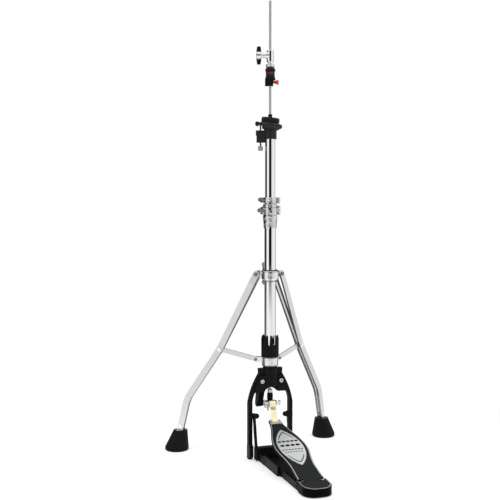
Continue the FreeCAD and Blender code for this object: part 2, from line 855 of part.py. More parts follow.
def foot_centre(height):
    """Centre of the leaning rubber foot at a height."""
    lip = 8
    share = (height - lip) / (num.foot_mouth_height - lip)
    share = max(share, 0)
    return num.foot_reach + (num.foot_mouth_reach - num.foot_reach) * share


def foot_circle(radius, height):
    return Part.Wire([Part.Circle(point(foot_centre(height), 0, height), Z_AXIS, radius).toShape()])


def foot_cone(low_radius, high_radius, low, high):
    return Part.makeLoft([foot_circle(low_radius, low), foot_circle(high_radius, high)], True, False)


def build_brace(name, azimuth):
    """Flat brace from the lower collar to between the leg's two bars."""
    start = (num.brace_pivot_reach, num.brace_pivot_height)
    end = (num.brace_joint_reach, num.brace_joint_height)
    brace = Piece(f"{name}_brace")
    reach = dim.brace_joint_reach - dim.brace_pivot_reach
    rise = dim.brace_joint_height - dim.brace_pivot_height
    length = math.hypot(reach.value, rise.value)
    corners = capsule_outline((0, 0), (length, 0), 6)
    holes = [("circle", 0, 0, 2.56), ("circle", length, 0, 2.6)]
    brace.pad("XZ", [corners] + holes, 4, middle=True)
    slope = math.degrees(math.atan2(end[1] - start[1], end[0] - start[0]))
    lean = FreeCAD.Rotation(Y_AXIS, -slope)
    swing = FreeCAD.Rotation(Z_AXIS, azimuth)
    brace.body.Placement = FreeCAD.Placement(
        swing.multVec(point(start[0], 0, start[1])), swing.multiply(lean)
    )


# Cymbal seat

def build_seat():
    foot = num.seat_foot
    radius = num.seat_radius
    pivot = num.tilt_height
    screw_x = -num.tilt_screw_offset
    body = turned_solid([(0, foot), (radius - 1, foot), (radius, foot + 1), (radius, pivot - 15),
                         (0, pivot - 15)])
    block = box((-34, -12), (-7, 7), (foot - 8.5, foot + 9))
    shelf = box((-35.5, -10), (-8.5, 8.5), (foot + 9, foot + 21.5))
    tools = [
        rod(20.3, (0, -20, pivot), (0, 20, pivot)),
        rod(num.upper_tube_radius, (0, 0, foot - 20), (0, 0, num.upper_tube_top)),
        rod(num.sleeve_radius, (0, 0, num.upper_tube_top + 2), (0, 0, pivot)),
        rod(3.2, (0, 0, foot), (0, 0, pivot)),
        rod(2 + num.running_gap, (screw_x, 0, foot - 20), (screw_x, 0, pivot)),
    ]
    shaped("seat_base", fuse([body, block, shelf]).cut(tools), turned=True)

    Piece("seat_sleeve").turn(ring(dim.rod_radius + dim.running_gap, dim.sleeve_radius,
                                   dim.upper_tube_top + 2, dim.sleeve_top))

    rim = num.cup_radius
    skirt = num.cup_skirt_radius
    ceiling = pivot - 10.5
    flange = turned_solid([
        (0, pivot - 2), (num.seat_felt_radius, pivot - 2), (rim - 1.8, pivot - 4.2),
        (rim, pivot - 6.2), (rim, pivot - 11), (rim - 1.8, pivot - 13), (skirt, pivot - 18.5),
        (skirt - 2, pivot - 18.5), (skirt - 2, ceiling), (0, ceiling),
    ])
    screw_side = box((-rim - 2, 5.6 - num.tilt_screw_offset), (-rim, rim), (pivot - 20, ceiling))
    core = rod(20, (0, -15, pivot), (0, 15, pivot))
    core = core.common(box((-30, 30), (-15, 15), (pivot - 21, pivot - 8)))
    hook_outline = [(-28, pivot - 13.5), (-28, pivot - 3), (-33.5, pivot - 2.2), (-36, pivot - 4.2),
                    (-36.6, pivot - 7.5), (-36, pivot - 11), (-33.5, pivot - 13.5)]
    hook = extruded(hook_outline, point(0, 17, 0), lambda x, z: point(x, -8.5, z))
    bore = rod(9, (0, 0, pivot - 25), (0, 0, pivot + 2))
    cup = fuse([flange.cut(screw_side), core, hook]).cut(bore)
    shaped("seat_cup", tilted(cup), turned=True)

    felt_radius = num.seat_felt_radius
    felt = turned_solid([
        (7, pivot - 2), (felt_radius - 0.5, pivot - 2), (felt_radius, pivot + 3),
        (felt_radius, num.seat_felt_top - 1.5), (felt_radius - 1.5, num.seat_felt_top),
        (7, num.seat_felt_top),
    ])
    shaped("seat_felt", tilted(felt), turned=True)

    tip = pivot - 8.8
    screw = fuse([
        box((screw_x - 6, screw_x + 6), (-5.5, 5.5), (769, 780)),
        rod(2, (screw_x, 0, 779), (screw_x, 0, tip)),
    ])
    shaped("tilt_screw", screw, turned=True)


def tilted(shape):
    """Lean a level cup piece about the tilt axis, low on the right."""
    copy = shape.copy()
    copy.rotate(point(0, 0, num.tilt_height), Y_AXIS, num.tilt_angle)
    return copy


# Clutch

def build_clutch():
    sleeve = num.clutch_sleeve_radius
    barrel = num.clutch_barrel_radius
    low = num.clutch_barrel_foot
    high = num.clutch_barrel_top
    screw_z = num.clutch_screw_height
    profile = [
        (0, 934), (sleeve, 934), (sleeve, low), (barrel - 1, low), (barrel, low + 1.5),
        (barrel, high - 1.5), (barrel - 1.5, high), (0, high),
    ]
    boss = rod(6.2, (-15.5, 0, screw_z), (0, 0, screw_z))
    rounding = rod(8.6, (-11, 0, screw_z), (0, 0, screw_z))
    bore = rod(num.rod_radius + num.running_gap, (0, 0, 900), (0, 0, high + 1))
    thread = rod(2.56, (-20, 0, screw_z), (-3.2, 0, screw_z))
    body = fuse([turned_solid(profile), boss, rounding]).cut([bore, thread])
    shaped("clutch_body", body, turned=True)

    Piece("clutch_top_nut").turn([
        (dim.clutch_sleeve_radius, 975), (10, 975), (11, 976), (11, 981.5), (10, 982.5),
        (dim.clutch_sleeve_radius, 982.5),
    ]).turn_with_hardware()
    felts = Piece("clutch_felts")
    felts.turn([(dim.clutch_sleeve_radius, 962), (11, 962), (12.8, 969.5), (12.8, 973.5), (11.6, 975),
                (dim.clutch_sleeve_radius, 975)])
    felts.turn([(dim.clutch_sleeve_radius, dim.clutch_nut_top + 0.3),
                (12.6, dim.clutch_nut_top + 0.3), (11, 957.5), (dim.clutch_sleeve_radius, 957.5)])
    Piece("clutch_washer").turn([
        (dim.clutch_sleeve_radius, 957.5), (11, 957.5), (11.3, 958.5), (11.3, 961), (11, 962),
        (dim.clutch_sleeve_radius, 962),
    ])

    grip = num.clutch_wing_reach
    hub_radius = num.clutch_wing_hub_radius
    wide = 6.5
    narrow = 4.25
    centre = -28.2
    outline = [
        (centre - wide, screw_z - 8), (centre - narrow, screw_z - grip),
        (centre + narrow, screw_z - grip), (centre + wide, screw_z - 8),
        (centre + wide, screw_z + 8), (centre + narrow, screw_z + grip),
        (centre - narrow, screw_z + grip), (centre - wide, screw_z + 8),
    ]
    wing = extruded(outline, point(0, 7, 0), lambda x, z: point(x, -3.5, z))
    hub = turned_solid([(0, -wide), (hub_radius - 1, -wide), (hub_radius, 1 - wide),
                        (hub_radius, wide - 1), (hub_radius - 1, wide), (0, wide)])
    hub.rotate(point(0, 0, 0), Y_AXIS, 90)
    hub.translate(point(centre, 0, screw_z))
    shaft = rod(5.4, (centre, 0, screw_z), (-15.8, 0, screw_z))
    thread = rod(2.5, (-16, 0, screw_z), (-3.6, 0, screw_z))
    shaped("clutch_wing", fuse([wing, hub, shaft, thread]), turned=True)

    low = num.clutch_nut_foot
    high = num.clutch_nut_top
    nut = num.clutch_nut_radius
    collar = turned_solid([(0, high - 6.5), (nut - 1.5, high - 6.5), (nut, high - 4.5),
                           (nut, high - 2), (nut - 1, high), (0, high)])
    block = fuse([box((-11, 7.5), (-8, 8), (low, high - 6)),
                  rod(4, (-9, -4, low), (-9, -4, high - 6)), rod(4, (-9, 4, low), (-9, 4, high - 6))])
    boss = rod(7.2, (-1, -11.5, low + 8), (-1, 0, low + 8))
    bore = rod(sleeve + num.running_gap, (0, 0, low - 1), (0, 0, high + 1))
    screw_hole = rod(2.56, (5, 0, low + 9), (20, 0, low + 9))
    shaped("clutch_bottom_nut", fuse([collar, block, boss]).cut([bore, screw_hole]), turned=True)

    flare = Part.makeCone(3, 6.2, 8.6, point(10.6, 0, low + 9), X_AXIS)
    cap = Part.makeCylinder(6.2, 1.6, point(19.2, 0, low + 9), X_AXIS)
    shank = rod(2.5, (5.6, 0, low + 9), (11, 0, low + 9))
    neck = rod(3, (7.8, 0, low + 9), (11, 0, low + 9))
    shaped("clutch_lock_screw", fuse([flare, cap, shank, neck]), turned=True)


# Pedal

def build_lever():
    """Two cheeks on the pivot pin, slotted for the rod's cross pin."""
    pivot = (-num.lever_pivot_forward, num.lever_pivot_height)
    shaft = (-num.strap_shaft_forward, num.strap_shaft_height)
    length = math.dist(pivot, shaft)
    along = ((shaft[0] - pivot[0]) / length, (shaft[1] - pivot[1]) / length)
    slot_ends = []
    for distance in (27.2, 31.4):
        slot_ends.append((pivot[0] + along[0] * distance, pivot[1] + along[1] * distance))
    cheeks = []
    for near, far in ((-11.6, -8.6), (8.6, 11.6)):
        def place(y, z, near=near):
            return point(near, y, z)
        cheek = extruded(capsule_outline(pivot, shaft, 7, 8), point(far - near, 0, 0), place)
        slot = extruded(capsule_outline(*slot_ends, 3.7, 8), point(far - near, 0, 0), place)
        cheeks.append(cheek.cut(slot))
    boss = rod(6, (-11.6, *pivot), (11.6, *pivot))
    stop = box((-11.6, -8.6), (-15, -9), (121, 133))
    bores = [rod(3 + num.running_gap, (-13, *pivot), (15, *pivot)),
             rod(4, (-30, *shaft), (30, *shaft))]
    shaped("lever_arm", fuse(cheeks + [boss, stop]).cut(bores))

    shaft_piece = Piece("strap_shaft")
    centre = (-dim.strap_shaft_forward, dim.strap_shaft_height)
    shaft_piece.pad("YZ", [("circle", *centre, 4)], 36, offset=-18)
    shaft_piece.pad("YZ", [("circle", *centre, 6.2)], 4, offset=18)

    wing = wing_lobes(11, 3, 8)
    wing.rotate(point(0, 0, 0), Z_AXIS, 90)
    wing.rotate(point(0, 0, 0), X_AXIS, 55)
    wing.translate(point(-18.2, *shaft))
    wing = wing.cut(rod(4 + num.running_gap, (-19, *shaft), (0, *shaft)))
    shaped("shaft_wing", wing)

    half = num.strap_width / 2
    loop = rod(6, (-half, *shaft), (half, *shaft))
    toe = (-33.5, 103)
    slab = extruded([(shaft[0] - 6, shaft[1] - 1), (shaft[0] - 3, shaft[1] - 5), (toe[0] + 2, toe[1]),
                     (toe[0], toe[1])], point(2 * half, 0, 0), lambda y, z: point(-half, y, z))
    strap = fuse([loop, slab]).cut(rod(4 + num.running_gap, (-10, *shaft), (10, *shaft)))
    shaped("drive_strap", strap)


def board_point(across, along, lift):
    """A point on the footboard: along it from the hinge, and lift above its top face."""
    angle = math.radians(num.board_angle)
    y = -num.hinge_forward + along * math.cos(angle) - lift * math.sin(angle)
    z = num.hinge_height + along * math.sin(angle) + lift * math.cos(angle)
    return point(across, y, z)


# Half widths of the footboard along its length, from the hinge to the toe.
BOARD_WIDTHS = [(14, 31.4), (30, 30.8), (46, 30.4), (60, 30.6), (76, 32.2), (94, 35.2), (112, 38.8),
                (131, 40.8), (151, 39.4), (172, 35.4), (194, 29), (217, 21.6), (236, 16.8)]


def board_face(inset, lift, toe_length):
    """Waisted footboard outline, drawn in from its edge by inset."""
    toe_half = 14.6 - inset
    heel_half = 31.6 - inset
    right = [board_point(heel_half, 6 + inset, lift)]
    for along, half in BOARD_WIDTHS:
        right.append(board_point(half - inset, along, lift))
    right.append(board_point(toe_half, toe_length - inset, lift))
    left = [point(-spot.x, spot.y, spot.z) for spot in right]
    edges = []
    for side in (right, left):
        curve = Part.BSplineCurve()
        curve.interpolate(side)
        edges.append(curve.toShape())
    edges.append(Part.makeLine(right[0], left[0]))
    edges.append(Part.makeLine(right[-1], left[-1]))
    return Part.Face(Part.Wire(Part.__sortEdges__(edges)))


def board_normal():
    return board_point(0, 0, 1) - board_point(0, 0, 0)


def build_footboard():
    up = board_normal()
    length = num.board_length
    thickness = num.board_thickness
    slab = board_face(0, -thickness, length).extrude(up * thickness)
    ridge = board_face(1.2, -0.2, length).extrude(up * 1.0)
    inner = board_face(3.0, -0.4, length).extrude(up * 2)
    heel_gap = extruded([(-28.6, 0), (28.6, 0), (28.6, 9.5), (-28.6, 9.5)], up * 2,
                        lambda x, s: board_point(x, s, -0.4))
    ridge = ridge.cut([inner, heel_gap])
    # The hinge end is a barrel between the heel plate's two knuckles.
    barrel_low = board_point(-19, 0, -num.hinge_drop)
    barrel = Part.makeCylinder(num.hinge_barrel_radius, 38, barrel_low, X_AXIS)
    tongue = extruded([(-19, 0.5), (19, 0.5), (19, 12), (-19, 12)], up * 5,
                      lambda x, s: board_point(x, s, -5))
    board = fuse([slab, ridge, barrel, tongue])
    pin_hole = Part.makeCylinder(2.5 + num.running_gap, 50, board_point(-25, 0, -num.hinge_drop), X_AXIS)
    shaped("footboard", board.cut(pin_hole))

    shaped("badge_plate", almond_face().extrude(up * 1.2))

    # Plate that clamps the strap's end to the toe, and its two screws.
    clamp_low = length - 21
    outline = [(-13.4, length - 1), (13.4, length - 1), (15.4, clamp_low), (-15.4, clamp_low)]
    lift = 0.85
    clamp = extruded(outline, up * 2.2, lambda x, s: board_point(x, s, lift))
    screws = []
    for side in (1, -1):
        foot = board_point(side * 10.2, length - 11, lift)
        clamp = clamp.cut(Part.makeCylinder(1.6, 4, foot - up, up))
        head = Part.makeCylinder(3, 1.6, foot + up * 2.2, up)
        shank = Part.makeCylinder(1.6, 2.4, foot, up)
        screws.append(head.fuse(shank).removeSplitter())
    shaped("strap_clamp", clamp)
    shaped("strap_clamp_screws", Part.makeCompound(screws))


def almond_face():
    """Outline of the badge: two long arcs that meet in blunt tips on the board's centre line."""
    middle = num.badge_middle
    half_tip = 3
    low = middle - num.badge_half_length
    high = middle + num.badge_half_length
    edges = []
    for side in (1, -1):
        bow = board_point(side * num.badge_half_width, middle, 0)
        arc = Part.Arc(board_point(side * half_tip, low, 0), bow, board_point(side * half_tip, high, 0))
        edges.append(arc.toShape())
    for end, beyond in ((low, low - 2), (high, high + 2)):
        tip = Part.Arc(board_point(-half_tip, end, 0), board_point(0, beyond, 0),
                       board_point(half_tip, end, 0))
        edges.append(tip.toShape())
    return Part.Face(Part.Wire(Part.__sortEdges__(edges)))


def heel_outline(inset, height, front):
    """Face of the heel plate: square at the hinge, with large rounded corners at the back."""
    side = num.heel_half_width - inset
    back = -num.heel_forward + inset

    def at(x, y):
        return point(x, y, height)

    edges = [Part.Arc(at(14, back + 1), at(0, back), at(-14, back + 1)).toShape(),
             Part.makeLine(at(side, front), at(-side, front))]
    for sign in (1, -1):
        edges.append(Part.makeLine(at(sign * side, front), at(sign * side, back + 28)))
        corner = Part.Arc(at(sign * side, back + 28), at(sign * (side - 7.5), back + 9),
                          at(sign * 14, back + 1))
        edges.append(corner.toShape())
    return Part.Face(Part.Wire(Part.__sortEdges__(edges)))


def above_heel(lift):
    """Everything above the heel plate's sloping top, raised by lift."""
    back = -num.heel_forward
    front = -num.hinge_forward
    outline = [(back - 5, num.heel_edge_height + lift), (front, num.heel_hinge_height + lift),
               (front + 20, num.heel_hinge_height + lift), (front + 20, 60), (back - 5, 60)]
    return extruded(outline, point(100, 0, 0), lambda y, z: point(-50, y, z))


def build_heel_plate(floor_high, base_end):
    hinge = board_point(0, 0, -num.hinge_drop)
    base_side = num.base_heel_half_width
    front = hinge.y - 5.9
    tall = point(0, 0, 30)
    plate = heel_outline(0, 2, front).extrude(tall)
    over_base = box((-base_side - 0.1, base_side + 0.1), (base_end - 0.1, front + 1), (0, floor_high))
    plate = plate.cut([above_heel(0), over_base])
    line = heel_outline(1.2, 2, front).extrude(tall)
    line = line.cut([heel_outline(3, 2, front + 1).extrude(tall), above_heel(0.7)])
    line = line.common(above_heel(-0.4))
    # Knuckles beside the board's barrel and at the plate's sides, with a notch between them.
    knuckles = []
    for near, far in ((19.6, 23.5), (31.8, num.heel_half_width)):
        for side in (1, -1):
            low_x, high_x = sorted((side * near, side * far))
            eye = Part.makeCylinder(num.hinge_barrel_radius, high_x - low_x,
                                    point(low_x, hinge.y, hinge.z), X_AXIS)
            web = box((low_x, high_x), (front - 1, hinge.y), (floor_high, hinge.z))
            knuckles += [eye, web]
    hole = Part.makeCylinder(2.5, 80, point(-40, hinge.y, hinge.z), X_AXIS)
    shaped("heel_plate", fuse([plate, line] + knuckles).cut(hole))
    shaped("hinge_pin", Part.makeCylinder(2.5, 68, point(-34, hinge.y, hinge.z), X_AXIS))


def build_base():
    heel = num.base_heel_half_width
    wide = num.base_half_width
    pad_height = 3
    floor_high = 7
    wall_high = 20
    end = -num.hinge_forward - 26
    neck = -162
    outline = [(20, 20), (20, -16), (wide, -16), (wide, -62), (39, -66), (39, neck + 8),
               (heel, neck), (heel, end)]
    outline += [(-x, y) for x, y in reversed(outline)]

    def flat(z):
        return lambda x, y: point(x, y, z)

    floor = extruded(outline, point(0, 0, floor_high - pad_height), flat(pad_height))
    sides = []
    for side in (1, -1):
        for start, stop, half, top in ((-16, -66, wide, wall_high), (-62, neck + 4, 39, 24),
                                       (neck + 8, 15 - num.hinge_forward, heel, 17)):
            low_x, high_x = sorted((side * (half - 3), side * half))
            sides.append(box((low_x, high_x), (stop, start), (pad_height, top)))
        # Ribbed blocks that carry the spur screws, and ribs along the narrow part.
        for start in (-74, -98, -122, -146):
            low_x, high_x = sorted((side * 28, side * 39))
            sides.append(box((low_x, high_x), (start - 5, start), (floor_high, 22)))
        for start in (-176, -200, -224):
            low_x, high_x = sorted((side * 20, side * heel))
            sides.append(box((low_x, high_x), (start - 4, start), (floor_high, 15)))
    crossbar = box((-47.4, 47.4), (-33, -15), (pad_height, 34))
    shaped("base_plate", fuse([floor, crossbar] + sides))

    inset_outline = [(x * 0.97, y * 0.985 - 0.5) for x, y in outline]
    shaped("base_pad", extruded(inset_outline, point(0, 0, pad_height), flat(0)))
    build_heel_plate(floor_high, end)

    # Struts from the base's toe up to the fold bolts.
    struts = []
    bolts = []
    pivot = (-num.fold_forward, num.fold_height)
    for side in (1, -1):
        low_x, high_x = sorted((side * 42.5, side * 47.4))

        def place(y, z, low_x=low_x):
            return point(low_x, y, z)
        eye = rod(8, (low_x, *pivot), (high_x, *pivot))
        bar = extruded([(pivot[0] + 5, pivot[1]), (pivot[0] - 6, pivot[1]), (-29, 34), (-19, 34)],
                       point(high_x - low_x, 0, 0), place)
        hole = rod(4, (side * 30, *pivot), (side * 60, *pivot))
        struts.append(fuse([eye, bar]).cut(hole))
        shank = rod(3.94, (side * 57, *pivot), (side * 36, *pivot))
        knob = rod(6.5, (side * 42.4, *pivot), (side * 36, *pivot))
        nose = Part.makeCone(6.5, 3.5, 4, point(side * 36, *pivot), point(-side, 0, 0))
        bolts.append(fuse([shank, knob, nose]))
    shaped("side_struts", Part.makeCompound(struts))
    shaped("fold_bolts", Part.makeCompound(bolts))


def check_and_write():
    doc.recompute()
    for item in doc.Objects:
        if "Invalid" in item.State or "Error" in item.State:
            raise RuntimeError(f"{item.Name} is {item.State}")
    os.makedirs("parts", exist_ok=True)
    for label, item in pieces.items():
        shape = item.Shape
        if shape.isNull() or not shape.isValid() or shape.Volume <= 0:
            raise RuntimeError(f"{label} has no valid shape")
        shape.exportStep(f"parts/{label}.step")
        print(label, len(shape.Solids), round(shape.Volume))
    print(len(pieces), "sub-parts")


build_frame()
build_tubes()
build_rod()
build_spring()
build_clamps()
build_leg_base()
for leg_name, leg_turn in (("right", 90 - num.leg_azimuth), ("left", 90 + num.leg_azimuth)):
    build_leg(leg_name, leg_turn)
    build_brace(leg_name, leg_turn)
build_seat()
build_clutch()
build_lever()
build_footboard()
build_base()
check_and_write()
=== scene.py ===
"""Looks of the hi-hat stand: finishes for its CAD nodes, its soft goods, and a plain studio."""

import json
import math

import bpy
import numpy as np
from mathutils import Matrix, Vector, noise


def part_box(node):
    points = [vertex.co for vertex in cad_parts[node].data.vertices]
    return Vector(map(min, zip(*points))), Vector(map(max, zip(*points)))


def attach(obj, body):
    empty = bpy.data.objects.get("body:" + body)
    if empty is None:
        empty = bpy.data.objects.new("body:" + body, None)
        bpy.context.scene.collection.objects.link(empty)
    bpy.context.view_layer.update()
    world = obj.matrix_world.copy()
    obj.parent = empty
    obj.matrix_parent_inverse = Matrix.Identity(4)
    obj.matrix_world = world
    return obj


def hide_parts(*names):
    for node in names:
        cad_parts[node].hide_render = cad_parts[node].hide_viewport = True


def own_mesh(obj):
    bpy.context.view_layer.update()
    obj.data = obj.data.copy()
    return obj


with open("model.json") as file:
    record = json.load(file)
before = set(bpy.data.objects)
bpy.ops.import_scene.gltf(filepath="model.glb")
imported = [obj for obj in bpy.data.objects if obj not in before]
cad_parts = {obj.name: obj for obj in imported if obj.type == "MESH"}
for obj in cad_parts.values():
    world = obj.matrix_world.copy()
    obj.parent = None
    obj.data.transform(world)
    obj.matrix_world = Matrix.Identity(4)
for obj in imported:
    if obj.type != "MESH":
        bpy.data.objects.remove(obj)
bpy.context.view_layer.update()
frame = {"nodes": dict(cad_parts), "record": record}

MM = 0.001
UP = Vector((0, 0, 1))

# The camera looks along a level heading 20 degrees right of the pedal's own line.
HEADING = math.radians(20)
AHEAD = Vector((math.sin(HEADING), math.cos(HEADING), 0))
RIGHT = Vector((math.cos(HEADING), -math.sin(HEADING), 0))


# Material nodes

class Look:
    """One node material, with a short call for each kind of node it uses."""

    def __init__(self, name):
        self.material = bpy.data.materials.new(name)
        self.material.use_nodes = True
        self.nodes = self.material.node_tree.nodes
        self.links = self.material.node_tree.links
        self.shader = self.nodes["Principled BSDF"]
        self.place = self.add("ShaderNodeTexCoord").outputs["Object"]

    def add(self, kind, **settings):
        made = self.nodes.new(kind)
        for key, value in settings.items():
            setattr(made, key, value)
        return made

    def feed(self, socket, value):
        """Links a socket to another node's output, or gives it a fixed value."""
        if isinstance(value, bpy.types.NodeSocket):
            self.links.new(value, socket)
        elif socket.type == "RGBA" and len(value) == 3:
            socket.default_value = (*value, 1)
        else:
            socket.default_value = value

    def math(self, operation, first, second=0.0, clamp=False):
        made = self.add("ShaderNodeMath", operation=operation, use_clamp=clamp)
        self.feed(made.inputs[0], first)
        self.feed(made.inputs[1], second)
        return made.outputs[0]

    def scaled(self, factor, low, high):
        """Takes a value from 0 to 1 into the span low to high."""
        made = self.add("ShaderNodeMapRange")
        self.feed(made.inputs["Value"], factor)
        made.inputs["To Min"].default_value = low
        made.inputs["To Max"].default_value = high
        return made.outputs[0]

    def step(self, value, low, high):
        """0 below low, 1 above high, smooth in between."""
        made = self.add("ShaderNodeMapRange", interpolation_type="SMOOTHSTEP")
        self.feed(made.inputs["Value"], value)
        made.inputs["From Min"].default_value = low
        made.inputs["From Max"].default_value = high
        return made.outputs[0]

    def noise(self, size, detail=3.0, stretch=(1, 1, 1), roughness=0.55):
        """Noise whose grain is about size metres, stretched along the row frame's axes."""
        mapping = self.add("ShaderNodeMapping")
        self.feed(mapping.inputs["Vector"], self.place)
        mapping.inputs["Scale"].default_value = [1 / (size * part) for part in stretch]
        made = self.add("ShaderNodeTexNoise")
        self.feed(made.inputs["Vector"], mapping.outputs[0])
        made.inputs["Scale"].default_value = 1
        made.inputs["Detail"].default_value = detail
        made.inputs["Roughness"].default_value = roughness
        return made.outputs["Fac"]

    def mix(self, factor, first, second):
        made = self.add("ShaderNodeMix", data_type="RGBA")
        self.feed(made.inputs[0], factor)
        self.feed(made.inputs[6], first)
        self.feed(made.inputs[7], second)
        return made.outputs[2]

    def along(self, direction):
        """How far a point lies along a direction, in metres from the row frame's origin."""
        made = self.add("ShaderNodeVectorMath", operation="DOT_PRODUCT")
        self.feed(made.inputs[0], self.place)
        made.inputs[1].default_value = direction
        return made.outputs["Value"]

    def facing(self, direction):
        """1 on faces that look along a direction, -1 on faces that look away."""
        face = self.add("ShaderNodeNewGeometry")
        made = self.add("ShaderNodeVectorMath", operation="DOT_PRODUCT")
        self.feed(made.inputs[0], face.outputs["Normal"])
        made.inputs[1].default_value = direction
        return made.outputs["Value"]

    def rounded(self, radius):
        """Shading normal with edges rounded to a radius."""
        made = self.add("ShaderNodeBevel", samples=4)
        made.inputs["Radius"].default_value = radius
        return made.outputs[0]

    def edges(self, normal):
        """1 on edges and 0 on open faces, from a rounded normal; for wear and a painted highlight."""
        face = self.add("ShaderNodeNewGeometry")
        made = self.add("ShaderNodeVectorMath", operation="DOT_PRODUCT")
        self.feed(made.inputs[0], normal)
        self.feed(made.inputs[1], face.outputs["Normal"])
        return self.step(made.outputs["Value"], 0.995, 0.85)

    def crevices(self, distance):
        """Mask for painted shade: 1 in the open and lower where surfaces crowd each other."""
        made = self.add("ShaderNodeAmbientOcclusion", samples=4)
        made.inputs["Distance"].default_value = distance
        return self.step(made.outputs["AO"], 0.15, 0.75)

    def bump(self, height, depth, normal=None):
        made = self.add("ShaderNodeBump")
        self.feed(made.inputs["Height"], height)
        made.inputs["Distance"].default_value = depth
        made.inputs["Strength"].default_value = 1
        if normal is not None:
            self.feed(made.inputs["Normal"], normal)
        return made.outputs[0]

    def done(self, **sockets):
        """Sets the shader's sockets by name, with _ for a space, and returns the material."""
        for key, value in sockets.items():
            self.feed(self.shader.inputs[key.replace("_", " ")], value)
        return self.material


def metal(name, pale, dark, shine, grain=(1, 1, 1), depth=0.0, crowd=5 * MM, soil_and_shade=0.25, ripple=None,
          underside_shade=0.0):
    """Bare or plated metal: clouded tone, directional grain and painted shade in crevices.

    A ripple, given as its size and depth, makes cast surfaces wavy under their plating. Painted
    underside shade darkens the faces that look down."""
    look = Look(name)
    cloud = look.noise(22 * MM, detail=5)
    tone = look.mix(cloud, dark, pale)
    # Painted shade: the tone darkens in crevices, where ambient occlusion finds surfaces close together.
    if crowd:
        tone = look.mix(look.crevices(crowd), [part * soil_and_shade for part in dark], tone)
    # Painted shade: faces that look down are darkened towards near black.
    if underside_shade:
        below = look.math("MULTIPLY", look.step(look.facing(-UP), 0.05, 0.3), underside_shade)
        tone = look.mix(below, tone, (0.02, 0.02, 0.02))
    fine = look.noise(0.35 * MM, detail=2, stretch=grain)
    spread = 0.012 if crowd else 0.004
    rough = look.math("ADD", look.scaled(cloud, *shine), look.scaled(fine, -spread, spread), clamp=True)
    look.done(Base_Color=tone, Metallic=1.0, Roughness=rough)
    if ripple:
        look.done(Normal=look.bump(look.noise(ripple[0], detail=2), ripple[1]))
    elif depth:
        look.done(Normal=look.bump(fine, depth))
    return look.material


def chrome():
    return metal("chrome_plate", (0.92, 0.93, 0.94), (0.87, 0.88, 0.9), (0.02, 0.05), (1, 1, 30), crowd=0)


def cast_chrome():
    return metal("cast_chrome", (0.82, 0.83, 0.84), (0.5, 0.51, 0.53), (0.03, 0.07), crowd=4 * MM,
                 soil_and_shade=0.01, ripple=(9 * MM, 2.2 * MM))


def wing_steel():
    return metal("wing_steel", (0.62, 0.63, 0.64), (0.4, 0.41, 0.42), (0.28, 0.36), crowd=2 * MM,
                 soil_and_shade=0.1, ripple=(5 * MM, 0.25 * MM))


def ringed_chrome(node):
    """Turned collar: bright plating with a dark ring near each rim."""
    look = Look(f"{node}_chrome")
    low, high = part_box(node)
    height = look.along(UP)
    cloud = look.noise(12 * MM, detail=3)
    tone = look.mix(cloud, (0.7, 0.71, 0.72), (0.9, 0.91, 0.92))
    for level in (low.z + 2 * MM, high.z - 2 * MM):
        away = look.math("ABSOLUTE", look.math("SUBTRACT", height, level))
        tone = look.mix(look.step(away, 0.9 * MM, 0.5 * MM), tone, (0.03, 0.03, 0.03))
    return look.done(Base_Color=tone, Metallic=1.0, Roughness=look.scaled(cloud, 0.16, 0.24),
                     Normal=look.bump(look.noise(14 * MM, detail=1), 0.4 * MM))


def screw_steel():
    """Bright cut head on a dark threaded shank."""
    look = Look("screw_steel")
    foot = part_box("tilt_screw")[0].z
    shank = look.step(look.along(UP), foot + 11 * MM, foot + 12 * MM)
    cloud = look.noise(6 * MM, detail=4)
    head = look.mix(cloud, (0.7, 0.69, 0.66), (0.92, 0.91, 0.87))
    tone = look.mix(shank, head, (0.1, 0.1, 0.1))
    return look.done(Base_Color=tone, Metallic=1.0, Roughness=look.scaled(cloud, 0.3, 0.42))


def rod_steel():
    return metal("rod_steel", (0.62, 0.62, 0.63), (0.56, 0.56, 0.57), (0.42, 0.5), (1, 1, 40), crowd=0)


def leg_steel():
    # Painted shade darkens the faces of the legs that look down.
    return metal("leg_steel", (0.76, 0.765, 0.77), (0.66, 0.67, 0.68), (0.22, 0.32), (1, 1, 25), crowd=0,
                 underside_shade=0.9)


def zinc():
    return metal("zinc_plate", (0.72, 0.73, 0.74), (0.55, 0.56, 0.58), (0.22, 0.36), depth=0.001 * MM,
                 soil_and_shade=0.5)


def pin_steel():
    return metal("pin_steel", (0.3, 0.3, 0.31), (0.16, 0.16, 0.17), (0.3, 0.4), depth=0.001 * MM)


def socket_steel():
    return metal("socket_steel", (0.74, 0.75, 0.76), (0.6, 0.61, 0.62), (0.2, 0.3),
                 crowd=2.5 * MM, soil_and_shade=0.02)


def washer_silver():
    return metal("washer_silver", (0.86, 0.85, 0.81), (0.76, 0.75, 0.72), (0.45, 0.55), (6, 6, 1),
                 0.001 * MM, soil_and_shade=0.6)


def spring_steel():
    return metal("spring_steel", (0.2, 0.2, 0.21), (0.1, 0.1, 0.11), (0.25, 0.4), depth=0.002 * MM)


def badge_silver():
    return metal("badge_silver", (0.84, 0.85, 0.85), (0.76, 0.77, 0.77), (0.38, 0.5), (20, 1, 1),
                 0.002 * MM, crowd=0)


